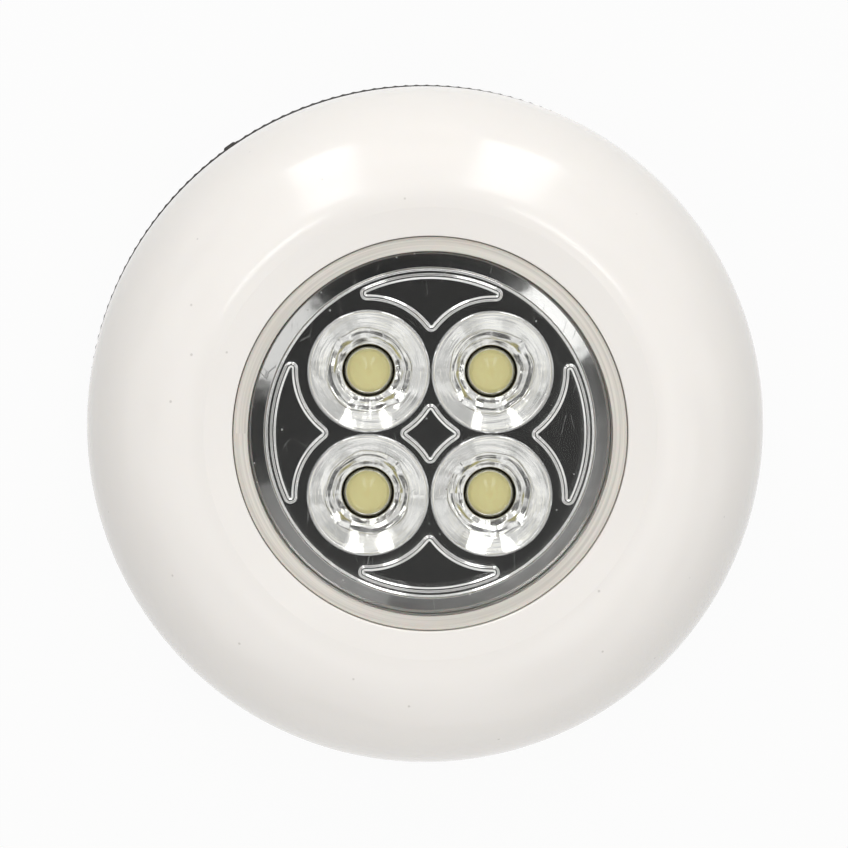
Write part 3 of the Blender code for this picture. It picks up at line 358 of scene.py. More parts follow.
def mottled(tree, shader, light, dark, size_mm, roughness=None):
    """A cloudy change between two colours, and of the roughness with it."""
    where = object_place(tree)
    clouds = noise(tree, where, size_mm, 3.0)
    colour = blend(tree, clouds, dark, light)
    tree.links.new(colour, shader.inputs["Base Color"])
    if roughness:
        tree.links.new(ranged(tree, clouds, 0.0, 1.0, *roughness), shader.inputs["Roughness"])
    return where, colour


def grained(tree, shader, size_mm, depth_mm, stretch=(1, 1, 1)):
    """A fine unevenness of the surface, as bump; stretch draws the grain out along an axis."""
    drawn = add_node(tree, "ShaderNodeMapping", {"Vector": object_place(tree), "Scale": stretch})
    grain = noise(tree, drawn.outputs["Vector"], size_mm, 2.0)
    tree.links.new(bump(tree, grain, depth_mm), shader.inputs["Normal"])


def grainy_material(name, sockets, colour, dark, clouds_mm, roughness, grain_mm, depth_mm, stretch=(1, 1, 1)):
    """A material that clouds to a share of its colour, under a fine grain."""
    material, tree, shader = base_material(name, sockets)
    mottled(tree, shader, colour, shaded(colour, dark), clouds_mm, roughness)
    grained(tree, shader, grain_mm, depth_mm, stretch)
    return material


def round_place(tree, spread=0.0):
    """The place, and its radius and angle about the light's axis or, with a spread, the nearest bowl's."""
    where = object_place(tree)
    folded = vector_maths(tree, "ABSOLUTE", where) if spread else where
    shifted = vector_maths(tree, "SUBTRACT", folded, (spread, spread, 0))
    flat = vector_maths(tree, "MULTIPLY", shifted, (1, 1, 0))
    radius = add_node(tree, "ShaderNodeVectorMath", {"operation": "LENGTH", 0: flat}).outputs["Value"]
    parts = add_node(tree, "ShaderNodeSeparateXYZ", {0: flat}).outputs
    return where, radius, maths(tree, "ARCTAN2", parts["Y"], parts["X"])


def streaked(tree, radius, angle, size_mm, per_angle, detail=2.0):
    """Noise of a size along the radius that changes with the angle at a rate of its own."""
    place = add_node(tree, "ShaderNodeCombineXYZ", {0: radius, 1: angle})
    drawn = add_node(tree, "ShaderNodeMapping", {"Vector": place.outputs["Vector"],
                                                 "Scale": (1 / (size_mm * MM), per_angle, 1)})
    return add_node(tree, "ShaderNodeTexNoise", {
        "Vector": drawn.outputs["Vector"], "Scale": 1.0, "Detail": detail}).outputs["Fac"]


def abs_polished_cream(colours):
    """ABS moulded in a polished tool: a clean gloss over a warm white, with a few dust specks."""
    material, tree, shader = base_material("abs_polished_cream", {
        "IOR": 1.53, "Subsurface Weight": 0.08, "Subsurface Scale": 0.6 * MM,
        "Subsurface Radius": (1.0, 0.85, 0.6)})
    where, colour = mottled(tree, shader, colours.cream, shaded(colours.cream, 0.975), 9.0, (0.11, 0.16))
    # dust and tiny marks, about 0.15 mm across, few and pale grey
    marks = ranged(tree, cells(tree, where, 3.4), 0.025, 0.05, 0.35, 0.0)
    tree.links.new(blend(tree, marks, colour, linear("8D857A")), shader.inputs["Base Color"])
    # the slow waviness of a thick moulding, far below what a finger feels
    grained(tree, shader, 5.0, 0.006)
    return material


def abs_eroded_black(colours):
    """ABS moulded in a spark-eroded tool: a fine even satin, its colour clouded darker in patches."""
    # eroded grit of 0.03 mm, drawn at 0.15 mm so that it shows
    return grainy_material("abs_eroded_black", {"IOR": 1.53}, colours.black, 0.6, 1.2, (0.38, 0.55),
                           0.15, 0.008)


def polypropylene_black(colours):
    """Polypropylene, moulded: a soft waxy sheen with faint flow clouds."""
    return grainy_material("polypropylene_moulded_black", {"IOR": 1.49}, colours.holder, 0.7, 4.0,
                           (0.35, 0.5), 0.25, 0.006)


def polystyrene_clear():
    """Polystyrene, moulded clear and polished: a sharp, thin gloss over what lies below."""
    return base_material("polystyrene_moulded_clear", {
        "Base Color": (*linear("FCFCFA"), 1), "IOR": 1.59, "Roughness": 0.0, "Transmission Weight": 1.0})[0]


def polystyrene_frosted(colours):
    """Polystyrene, moulded in a turned and eroded tool: a milky beige rim with fine rings round it."""
    material, tree, shader = base_material("polystyrene_moulded_frosted", {
        "IOR": 1.59, "Roughness": 0.18, "Subsurface Weight": 0.25, "Subsurface Scale": 0.8 * MM})
    _, radius, angle = round_place(tree)
    # rings 0.25 mm apart, left by turning the tool
    rings = streaked(tree, radius, angle, 0.25, 0.6)
    tint = blend(tree, ranged(tree, rings, 0.35, 0.65), shaded(colours.frosted, 0.78), colours.frosted)
    tree.links.new(tint, shader.inputs["Base Color"])
    tree.links.new(bump(tree, rings, 0.03), shader.inputs["Normal"])
    return material


def aluminium_metallised(sizes):
    """Aluminium, vacuum-metallised on moulded plastic: a near mirror with moulding ripples and pinholes."""
    material, tree, shader = base_material("aluminium_vacuum_metallised", {
        "Metallic": 1.0, "Base Color": (*linear("F3F3F4"), 1)})
    where, radius, angle = round_place(tree, sizes.led_spread)
    in_bowl = ranged(tree, radius, sizes.bowl_radius - 0.1 * MM, sizes.bowl_radius + 0.2 * MM, 1.0, 0.0)
    # polishing marks of the tool, in the bowls only: rings 0.5 mm apart, streaks, and wide soft hollows
    height = streaked(tree, radius, angle, 0.5, 0.8)
    for size_mm, per_angle, share in ((6, 8.0, 0.3), (2.2, 1.7, 3.6)):
        marks = streaked(tree, radius, angle, size_mm, per_angle, 0.0)
        height = maths(tree, "MULTIPLY_ADD", marks, share, height)
    height = maths(tree, "MULTIPLY", height, in_bowl)
    # slow ripple of the moulding
    ripple = noise(tree, where, 2.2, 1.0)
    tree.links.new(bump(tree, ripple, 0.008, bump(tree, height, 0.085)), shader.inputs["Normal"])
    # pinholes about 0.1 mm across, where the film scatters light
    dull = ranged(tree, cells(tree, where, 1.7), 0.03, 0.06, 0.7, 0.06)
    # the bowls' tool was less finely polished, which softens what they mirror
    soft = maths(tree, "MULTIPLY_ADD", height, 0.04, dull)
    # fine scratches in patches, where the film was wiped
    drawn = add_node(tree, "ShaderNodeMapping", {
        "Vector": where, "Rotation": (0, 0, 0.7), "Scale": (1, 0.3, 1)}).outputs["Vector"]
    scratches = ranged(tree, cells(tree, drawn, 1.3, "DISTANCE_TO_EDGE"), 0.0, 0.018, 0.2, 0.0)
    wiped = ranged(tree, ripple, 0.55, 0.68)
    tree.links.new(maths(tree, "MULTIPLY_ADD", scratches, wiped, soft), shader.inputs["Roughness"])
    return material


def epoxy_clear():
    """Epoxy, cast clear: a water-clear bullet that magnifies the phosphor below it."""
    return base_material("epoxy_cast_clear", {
        "Base Color": (*linear("FDFDF6"), 1), "IOR": 1.53, "Roughness": 0.01, "Transmission Weight": 1.0})[0]


def phosphor_powder(colours):
    """Phosphor powder set in silicone: matt yellow with a painted glow in place of the light it gets through
    the epoxy.
    """
    # the emission is a painted glow: it stands in for the light that reaches the phosphor through the epoxy
    # and the lens
    sockets = {"Roughness": 0.5, "IOR": 1.45, "Emission Color": (*colours.phosphor, 1),
               "Emission Strength": 0.37}
    # powder of 0.01 mm, drawn at 0.08 mm so that it shows
    return grainy_material("phosphor_powder_in_silicone", sockets, colours.phosphor, 0.88, 0.35, None,
                           0.08, 0.004)


def steel_plated(name, hex_colour, roughness, grain_mm):
    """Plated steel as stamped or drawn: bright grey with fine lines of the tool."""
    return grainy_material(name, {"Metallic": 1.0}, linear(hex_colour), 0.85, 1.5, roughness,
                           grain_mm, 0.002, (1, 1, 0.15))


def foam_closed_cell(colours):
    """Polyethylene foam, closed-cell: matt white with a skin of small burst cells."""
    material, tree, shader = base_material("polyethylene_foam_closed_cell", {
        "Roughness": 0.9, "IOR": 1.5, "Sheen Weight": 0.1})
    where, _ = mottled(tree, shader, colours.foam, shaded(colours.foam, 0.92), 2.0)
    # cells of 0.2 mm, drawn at 0.35 mm so that they show
    tree.links.new(bump(tree, cells(tree, where, 0.35), 0.05), shader.inputs["Normal"])
    return material


def paper_waxed(colours):
    """Glassine paper, waxed: a thin slippery liner with cloudy fibres."""
    sockets = {"IOR": 1.45, "Coat Weight": 0.3, "Coat Roughness": 0.2}
    return grainy_material("glassine_paper_waxed", sockets, colours.liner, 0.9, 1.5, (0.35, 0.5),
                           0.4, 0.01, (1, 0.2, 1))


def laminate_board(colours):
    """Phenolic paper laminate, pressed: brown with cloudy paper fibres and a dull resin gloss."""
    return grainy_material("phenolic_paper_laminate", {"IOR": 1.55}, colours.laminate, 0.75, 1.1,
                           (0.35, 0.55), 0.3, 0.01, (1, 0.25, 1))


def film_sleeve(colours, way):
    """PVC film shrunk on a cell: plain gloss colour, and bare metal at the button end beyond a gold band."""
    material, tree, shader = base_material(f"pvc_film_shrunk_{'up' if way > 0 else 'down'}", {
        "IOR": 1.52, "Coat Weight": 0.5, "Coat Roughness": 0.08})
    where, colour = mottled(tree, shader, colours.sleeve, shaded(colours.sleeve, 0.85), 3.0, (0.25, 0.4))
    place = add_node(tree, "ShaderNodeSeparateXYZ", {0: where}).outputs
    # distance from the cell's middle towards its button
    along = maths(tree, "MULTIPLY_ADD", place["Y"], way, -CELL_OFFSET)
    for edge, hex_colour in ((11.0, "B88A3E"), (21.0, "B9B9B6")):
        past = maths(tree, "GREATER_THAN", along, edge * MM)
        colour = blend(tree, past, colour, linear(hex_colour))
    tree.links.new(colour, shader.inputs["Base Color"])
    tree.links.new(past, shader.inputs["Metallic"])
    return material


def lacquer_banded():
    """Lacquer on a film resistor: glossy beige with four painted bands."""
    material, tree, shader = base_material("lacquer_dipped_beige", {"IOR": 1.5})
    where, colour = mottled(tree, shader, linear("CDB288"), linear("B89A6C"), 1.0, (0.2, 0.35))
    place = add_node(tree, "ShaderNodeSeparateXYZ", {0: where}).outputs
    low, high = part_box("resistor")
    middle, half_band = (low.x + high.x) / 2, 0.28 * MM
    for offset, hex_colour in ((-2.3, "5A3520"), (-1.1, "1C1C1C"), (0.0, "5A3520"), (2.1, "A98432")):
        inside = maths(tree, "COMPARE", place["X"], middle + offset * MM, half_band)
        colour = blend(tree, inside, colour, linear(hex_colour))
    tree.links.new(colour, shader.inputs["Base Color"])
    return material


def plastic_plain(name, hex_colour, roughness, grain_mm):
    """A small moulded plastic part: even colour with a light moulding grain."""
    return grainy_material(name, {"IOR": 1.5}, linear(hex_colour), 0.85, 1.0, roughness, grain_mm, 0.004)


# Outlines of the reflector's relief

def crescent(sizes, grow):
    """The island over the two upper bowls, grown outwards all round; its three corners are rounded."""
    spread, tip_soft, cusp_soft = sizes.led_spread, 0.36 * MM, 0.42 * MM
    outer, hollow = sizes.ridge_radius - 0.7 * MM, sizes.bowl_radius + 1.42 * MM
    away, reach_out, reach_in = spread * math.sqrt(2), outer - tip_soft, hollow + tip_soft
    tip = math.pi / 4 + math.acos((reach_out ** 2 + away ** 2 - reach_in ** 2) / (2 * reach_out * away))
    tip_centre = polar(reach_out, tip)
    cusp = (0.0, spread + math.sqrt((hollow + cusp_soft) ** 2 - spread ** 2))
    tip_to_bowl = math.atan2(spread - tip_centre[1], spread - tip_centre[0])
    cusp_to_bowl = math.atan2(spread - cusp[1], spread)
    half = arc(cusp, cusp_soft + grow, -math.pi / 2, cusp_to_bowl, 5)
    half += arc((spread, spread), hollow - grow, cusp_to_bowl + math.pi, tip_to_bowl + math.pi, 28)
    half += arc(tip_centre, tip_soft + grow, tip_to_bowl, tip, 10)
    half += arc((0.0, 0.0), outer + grow, tip, math.pi / 2, 22)
    return half + [(0.0, outer + grow)] + [(-x, y) for x, y in half[:0:-1]]


def diamond(sizes, grow):
    """The island between the bowls, with hollow sides struck from the bowls' centres."""
    spread, soft = sizes.led_spread, 0.36 * MM
    corner = 2.57 * MM - soft
    side = math.hypot(spread - corner, spread) - soft
    to_bowl = math.atan2(spread, spread - corner)
    points = []
    for quarter in range(4):
        turn = quarter * math.pi / 2
        bowl = polar(spread * math.sqrt(2), turn + math.pi / 4)
        points += arc(polar(corner, turn), soft + grow, turn - to_bowl, turn + to_bowl, 8)
        points += arc(bowl, side - grow, turn + math.pi + to_bowl, turn + 1.5 * math.pi - to_bowl, 16)
    return points


def bead_rings(outline, sizes, plate):
    """Rings over the bead along an island's edge, from the plate over its narrow top to the island."""
    half, steps, island, flank = 0.28 * MM, 10, 0.5, 0.8
    rings = [[(x, y, plate) for x, y in outline(sizes, half + 0.03 * MM)]]
    for step in range(2 * steps + 1):
        share = step / steps
        rise = (1 - math.cos(math.pi * min(share, 2 - share, flank) / flank)) / 2
        if share > 1:
            rise = island + (1 - island) * rise
        z = plate + sizes.bead_height * rise
        rings.append([(x, y, z) for x, y in outline(sizes, half * (1 - share))])
    rings.append([(x, y, z) for x, y in outline(sizes, -half - 0.02 * MM)])
    return rings


def fill_between(bm, loops):
    """Triangles over a flat face that has holes in it."""
    edges = []
    for loop in loops:
        for i in range(len(loop)):
            edges.append(bm.edges.get((loop[i - 1], loop[i])) or bm.edges.new((loop[i - 1], loop[i])))
    bmesh.ops.triangle_fill(bm, edges=edges, use_beauty=True, use_dissolve=False)


# Operators, one for each piece or group of like pieces

class LEDLIGHT_OT_back_cover(bpy.types.Operator):
    """Makes the knurled back cover with its rim tab"""

    bl_idname = "led_light.back_cover"
    bl_label = "Back Cover"

    def execute(self, context):
        sizes, colours = settings_of(context)
        root = sizes.rim_radius - sizes.knurl_depth
        bore = sizes.rim_radius - 1.35 * MM
        recess = sizes.pad_radius + 0.3 * MM
        soft, chamfer = 0.5 * MM, 0.15 * MM
        steps = sizes.knurl_teeth * 6

        def knurl(depth_share, z):
            points = []
            for i in range(steps):
                angle = 2 * math.pi * i / steps
                wave = (1 - math.cos(angle * sizes.knurl_teeth)) / 2
                radius = root + sizes.knurl_depth * (1 - wave ** 0.8) * depth_share
                points.append((*polar(radius, angle), z))
            return points

        def plain(radius, z):
            return ring(radius, z, steps)

        def draw(bm):
            groove = [plain(r * MM, COVER_BACK + depth * MM)
                      for r, depth in ((29.4, 0), (29.5, 0.12), (30.4, 0.12), (30.5, 0))]
            skin(bm, [
                plain(recess, COVER_BACK), *groove, knurl(0.0, COVER_BACK), knurl(0.55, COVER_BACK + chamfer),
                knurl(1.0, COVER_BACK + soft), knurl(1.0, COVER_TOP - soft),
                knurl(0.55, COVER_TOP - chamfer), knurl(0.0, COVER_TOP), plain(bore + 0.1 * MM, COVER_TOP),
                plain(bore, COVER_TOP - 0.1 * MM), plain(bore, COVER_INSIDE), plain(0.0, COVER_INSIDE)])
            floor = PAD_TOP + 0.3 * MM
            skin(bm, [plain(recess, COVER_BACK), plain(recess, floor), plain(0.0, floor)])
            bmesh.ops.remove_doubles(bm, verts=bm.verts, dist=SAME_PLACE)
            near, far, half = root - 0.3 * MM, sizes.rim_radius + 0.1 * MM, 0.75 * MM
            tab = filleted([(near, -half, 0), (far, -half, 0.35 * MM), (far, half, 0.35 * MM),
                            (near, half, 0)])
            prism(bm, turned(tab, TAB_ANGLE), COVER_BACK + 0.4 * MM, COVER_TOP - 0.3 * MM)
            # three bayonet lugs, each with a stop before and behind it
            ledge, wall = bore - 1.1 * MM, bore + 0.2 * MM
            for start in LUG_ANGLES:
                for half_angle, middle, low, high in ((9, 0, 6.1 * MM, COVER_TOP - 0.3 * MM),
                                                      (1.5, -9.5, 2.2 * MM, COVER_TOP - 0.6 * MM),
                                                      (1.5, 29.5, 2.2 * MM, COVER_TOP - 0.6 * MM)):
                    first = math.radians(start + middle - half_angle)
                    last = math.radians(start + middle + half_angle)
                    outline = arc((0, 0), ledge, first, last, 6) + [polar(ledge, last), polar(wall, last)]
                    outline += arc((0, 0), wall, last, first, 6) + [polar(wall, first)]
                    prism(bm, outline, low, high)

        add_piece("knurled_back_cover", draw, abs_eroded_black(colours), "base",
                  ["back_cover"])
        return {"FINISHED"}


class LEDLIGHT_OT_adhesive_pad(bpy.types.Operator):
    """Makes the adhesive foam pad and its release liner"""

    bl_idname = "led_light.adhesive_pad"
    bl_label = "Adhesive Pad"

    def execute(self, context):
        sizes, colours = settings_of(context)
        liner, edge = 0.12 * MM, sizes.pad_radius
        # the pad's side is pressed in a little at half its height
        pad = filleted([(0, liner, 0), (edge - 0.1 * MM, liner, 0.15 * MM),
                        (edge - 0.25 * MM, PAD_TOP / 2, 1.5 * MM),
                        (edge - 0.1 * MM, PAD_TOP, 0.2 * MM), (0, PAD_TOP, 0)])
        sheet = filleted([(0, 0, 0), (edge, 0, 0.04 * MM), (edge, liner, 0.04 * MM), (0, liner, 0)])
        near, far = edge - 1 * MM, edge + 3.4 * MM
        lift = filleted([(near, -5 * MM, 0), (far, -4 * MM, 2 * MM), (far, 4 * MM, 2 * MM),
                         (near, 5 * MM, 0)])

        def draw_liner(bm):
            lathe(bm, sheet, closed=False)
            prism(bm, turned(lift, LIFT_ANGLE), 0.01 * MM, liner - 0.01 * MM)

        foam = add_piece("foam_pad", lambda bm: lathe(bm, pad, closed=False), foam_closed_cell(colours),
                         "base", ["adhesive_pad"])
        add_piece("release_liner", draw_liner, paper_waxed(colours), "base")
        return {"FINISHED"}


class LEDLIGHT_OT_holder(bpy.types.Operator):
    """Finishes the battery holder, the cells and the board with its parts"""

    bl_idname = "led_light.holder"
    bl_label = "Holder and Board"

    def execute(self, context):
        colours = context.scene.led_light_colours
        refinish(["battery_holder"], polypropylene_black(colours))
        refinish(["battery_cell_1", "battery_cell_3"], film_sleeve(colours, 1))
        refinish(["battery_cell_2"], film_sleeve(colours, -1))
        refinish(["circuit_board"], laminate_board(colours))
        refinish(["resistor"], lacquer_banded())
        refinish(["switch_body"], plastic_plain("nylon_moulded_black", "242424", (0.35, 0.5), 0.2))
        refinish(["switch_plunger"], plastic_plain("acetal_moulded_white", "E8E6DE", (0.25, 0.4), 0.2))
        return {"FINISHED"}


class LEDLIGHT_OT_metalwork(bpy.types.Operator):
    """Finishes the contacts and screws"""

    bl_idname = "led_light.metalwork"
    bl_label = "Contacts and Screws"

    def execute(self, context):
        refinish(["contact_plate_positive", "contact_bridge_front", "contact_bridge_back",
                  "contact_spring_negative"], steel_plated("steel_nickel_plated", "D6D2C8", (0.2, 0.35), 0.3))
        screws = [f"board_screw_{i}" for i in (1, 2)] + [f"reflector_screw_{i}" for i in (1, 2, 3)]
        refinish(screws, steel_plated("steel_zinc_plated", "C9CBD0", (0.25, 0.4), 0.25))
        return {"FINISHED"}


class LEDLIGHT_OT_springs(bpy.types.Operator):
    """Makes the three return springs"""

    bl_idname = "led_light.springs"
    bl_label = "Return Springs"

    def execute(self, context):
        wire, coil, turns, points_per_turn = 0.25 * MM, 2.05 * MM, 6, 28
        # the share of the wire that lies flat at each end
        flat_share = 0.06
        steel = steel_plated("spring_steel_drawn", "B5B5B8", (0.2, 0.32), 0.2)
        for number, angle in enumerate(SPRING_ANGLES, 1):
            centre = polar(SPRING_CIRCLE, math.radians(angle))
            path = []
            for step in range(turns * points_per_turn + 1):
                share = step / (turns * points_per_turn)
                climb = min(max((share - flat_share) / (1 - 2 * flat_share), 0), 1)
                z = SPRING_FOOT + wire + (SPRING_LENGTH - 2 * wire) * climb
                path.append(Vector((*polar(coil, 2 * math.pi * turns * share, centre), z)))
            spring = add_piece(f"coiled_return_spring_{number}",
                               lambda bm: tube(bm, path, wire, 10, Vector((0, 0, 1))), steel, "holder",
                               [f"return_spring_{number}"])
            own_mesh(spring)
        return {"FINISHED"}


class LEDLIGHT_OT_leads(bpy.types.Operator):
    """Makes the two insulated leads from the contacts to the board"""

    bl_idname = "led_light.leads"
    bl_label = "Battery Leads"

    def execute(self, context):
        reach, deck, bend = 26.2 * MM, 14.1 * MM, 1.5 * MM
        # up from the contact's tab, over the end of the bay and along the deck
        rise = [(reach + bend, 10.25 * MM)] + arc((reach, deck - bend), bend, 0, math.pi / 2, 8)
        rise += [(y * MM, deck) for y in (26.2, 21.8, 17.5, 13.1)]
        for pole, side, hex_colour, slot in (("positive", 1, "A81E16", "red_insulation"),
                                             ("negative", -1, "1B1B1D", "black_insulation")):
            x = -side * 11.5 * MM
            path = [Vector((x, side * y, z)) for y, z in rise]
            # its end bows a little inwards
            path += [Vector((x * share, side * y * MM, deck))
                     for y, share in ((10.0, 1.0), (8.8, 0.992), (8.0, 0.972), (7.3, 0.95))]
            material = plastic_plain(f"pvc_extruded_{pole}", hex_colour, (0.35, 0.45), 0.3)
            add_piece(f"battery_lead_wire_{pole}",
                      lambda bm: tube(bm, path, 0.58 * MM, 14, Vector((1, 0, 0))), material, "holder",
                      [f"battery_lead_{pole}"])
        return {"FINISHED"}


class LEDLIGHT_OT_leds(bpy.types.Operator):
    """Makes the four LEDs: epoxy bullet, phosphor cup and lead frame"""

    bl_idname = "led_light.leds"
    bl_label = "LEDs"

    def execute(self, context):
        sizes, colours = settings_of(context)
        epoxy, powder = epoxy_clear(), phosphor_powder(colours)
        plated = steel_plated("copper_alloy_tinned", "D2D2D0", (0.15, 0.3), 0.2)
        barrel, cup_top = LED_TIP - sizes.led_radius, LED_TIP - 2.5 * MM
        bullet = [(sizes.led_radius * math.sin(a), barrel + sizes.led_radius * math.cos(a))
                  for a in (math.pi / 2 * i / 16 for i in range(17))]
        collar, collar_top = 2.9 * MM, LED_BASE + 1.0 * MM
        bullet += filleted([(sizes.led_radius, collar_top, 0.05 * MM), (collar, collar_top, 0.1 * MM),
                            (collar, LED_BASE, 0.1 * MM), (0, LED_BASE, 0)], 3, closed=False)

        def below_cup_top(*points):
            """Points of a profile from radii and depths in millimetres, counted from the cup's top."""
            return [(radius * MM, cup_top - depth * MM) for radius, depth in points]

        heap = below_cup_top((0, -0.1), (0.7, -0.08), (1.2, -0.03), (1.5, 0.05), (1.0, 0.5), (0, 0.5))
        cup_outside = below_cup_top((1.53, 0.02), (1.62, 0.02), (1.5, 1.0), (0, 1.0))
        cup_inside = below_cup_top((1.53, 0.02), (0.95, 0.6), (0, 0.62))
        for number, (sx, sy) in enumerate(((-1, 1), (1, 1), (-1, -1), (1, -1)), 1):
            centre = (sx * sizes.led_spread, sy * sizes.led_spread)

            def block(bm, left, right, bottom, top):
                front, back = centre[1] - 0.25 * MM, centre[1] + 0.25 * MM
                prism(bm, [(left, front), (right, front), (right, back), (left, back)], bottom, top)

            def draw_frame(bm):
                lathe(bm, cup_outside, SMALL, centre, False)
                lathe(bm, cup_inside, SMALL, centre, False)
                bmesh.ops.remove_doubles(bm, verts=bm.verts, dist=SAME_PLACE)
                # the post that carries the cup reaches in further than the one with the bond wire
                for side, inwards, top in ((-1, 0.75, cup_top - 0.9 * MM), (1, 0.25, cup_top - 0.3 * MM)):
                    x = centre[0] + side * 1.27 * MM
                    left, right = sorted((x + side * 0.25 * MM, x - side * inwards * MM))
                    block(bm, left, right, LED_BASE + 1.6 * MM, top)
                    block(bm, x - 0.25 * MM, x + 0.25 * MM, LED_BASE - 2.55 * MM, LED_BASE + 1.7 * MM)

            add_piece(f"led_epoxy_{number}", lambda bm: lathe(bm, bullet, 64, centre, False), epoxy,
                      "holder", [f"led_{number}"])
            add_piece(f"led_phosphor_{number}", lambda bm: lathe(bm, heap, SMALL, centre, False),
                      powder, "holder")
            add_piece(f"led_lead_frame_{number}", draw_frame, plated, "holder")
        return {"FINISHED"}


class LEDLIGHT_OT_dome(bpy.types.Operator):
    """Makes the dome with its collar, bosses and snap hooks"""

    bl_idname = "led_light.dome"
    bl_label = "Dome"

    def execute(self, context):
        sizes, colours = settings_of(context)
        base = CREST - sizes.shoulder_height
        width = sizes.dome_radius - sizes.crest_radius
        skirt, edge = sizes.dome_radius - sizes.dome_wall, 10.0 * MM

        def shoulder(inset, steps):
            """The quarter ellipse from the crest to the skirt, drawn in by a wall's share."""
            return [(sizes.crest_radius + (width - inset) * math.sin(a),
                     base + (sizes.shoulder_height - inset) * math.cos(a))
                    for a in (math.pi / 2 * i / steps for i in range(steps + 1))]

        opening = CREST - 0.47 * MM
        inner = shoulder(sizes.dome_wall, 16)
        roof = inner[0][1]
        outer = shoulder(0, 56)
        bottom = filleted([(sizes.dome_radius, base, 0), (sizes.dome_radius, edge, 0.35 * MM),
                           (skirt, edge, 0.3 * MM), (*inner[-1], 0)], closed=False)
        top = filleted([(sizes.opening_radius, 26.0 * MM, 0), (sizes.opening_radius, opening, 0.18 * MM),
                        (sizes.crest_radius, CREST, 0.5 * MM), (*outer[1], 0)], closed=False)
        collar, collar_foot = sizes.opening_radius + 1.4 * MM, 21.1 * MM
        profile = top[:-1] + outer[1:-1] + bottom + inner[::-1][1:]
        profile += [(collar, roof), (collar, collar_foot), (sizes.opening_radius, collar_foot)]

        def under_roof(points):
            """Lowers points to the middle of the dome's wall where they would stand above it."""
            middle = sizes.dome_wall / 2
            for point in points:
                reach = min(max(math.hypot(*point.co[:2]) - sizes.crest_radius, 0) / (width - middle), 1)
                fall = math.sqrt(1 - reach ** 2)
                point.co.z = min(point.co.z, base + (sizes.shoulder_height - middle) * fall)

        def draw_bosses(bm):
            foot, head = 19.6 * MM, roof + 0.4 * MM
            hook = [(28.6, 13.2), (28.6, 12.55), (29.1, 11.9), (30.8, 11.9), (30.8, 23.5), (29.6, 24.6),
                    (29.6, 13.2)]
            for angle in BOSS_ANGLES:
                turn = math.radians(angle)
                lathe(bm, [(BOSS_BORE, foot), (BOSS_RADIUS, foot), (BOSS_RADIUS, head), (BOSS_BORE, head)],
                      SMALL, polar(BOSS_CIRCLE, turn))
                spin = Matrix.Rotation(turn, 4, "Z") @ Matrix.Rotation(math.pi / 2, 4, "X")
                before = set(bm.verts)
                prism(bm, [(r * MM, z * MM) for r, z in hook], -3 * MM, 3 * MM)
                bmesh.ops.transform(bm, matrix=spin, verts=[v for v in bm.verts if v not in before])
            # a seat on each spring, and the post that presses the switch at the light's left
            seat = SPRING_FOOT + SPRING_LENGTH + 0.1 * MM
            posts = [(polar(SPRING_CIRCLE, math.radians(angle)), 3 * MM, seat, 26.2 * MM)
                     for angle in SPRING_ANGLES]
            posts.append(((-26.0 * MM, 0), 2 * MM, 23.6 * MM, 26.6 * MM))
            for centre, radius, low, high in posts:
                lathe(bm, [(0, low), (radius, low), (radius, high), (0, high)], SMALL, centre, False)
            under_roof(bm.verts)

        cream = abs_polished_cream(colours)
        add_piece("dome_shell", lambda bm: lathe(bm, profile), cream, "dome", ["dome_cap"])
        add_piece("dome_bosses_and_hooks", draw_bosses, cream, "dome")
        return {"FINISHED"}


class LEDLIGHT_OT_lens(bpy.types.Operator):
    """Makes the clear lens with its skirt"""

    bl_idname = "led_light.lens"
    bl_label = "Lens"

    def execute(self, context):
        sizes, colours = settings_of(context)
        under = LENS_TOP - sizes.lens_thickness
        bore = sizes.reflector_radius + 0.04 * MM
        seat, neck = LENS_FOOT + 1.2 * MM, 17.7 * MM
        # the clear plate runs a hair into its frosted rim
        edge, soft = bore + 0.05 * MM, 0.1 * MM
        plate = filleted([(0, LENS_TOP, 0), (edge, LENS_TOP, 0.02 * MM), (edge, under, 0.02 * MM),
                          (0, under, 0)])
        skirt = filleted([(bore, LENS_TOP, 0.05 * MM), (sizes.lens_radius, LENS_TOP, 0.22 * MM),
                          (sizes.lens_radius, seat, soft), (FLANGE_RADIUS, seat, soft),
                          (FLANGE_RADIUS, LENS_FOOT, soft), (neck, LENS_FOOT, soft),
                          (neck, under - 1.1 * MM, soft), (bore, under - 0.8 * MM, soft)])
        add_piece("clear_lens", lambda bm: lathe(bm, plate, closed=False), polystyrene_clear(),
                  "dome", ["lens"])
        add_piece("frosted_lens_rim", lambda bm: lathe(bm, skirt), polystyrene_frosted(colours),
                  "dome")
        return {"FINISHED"}


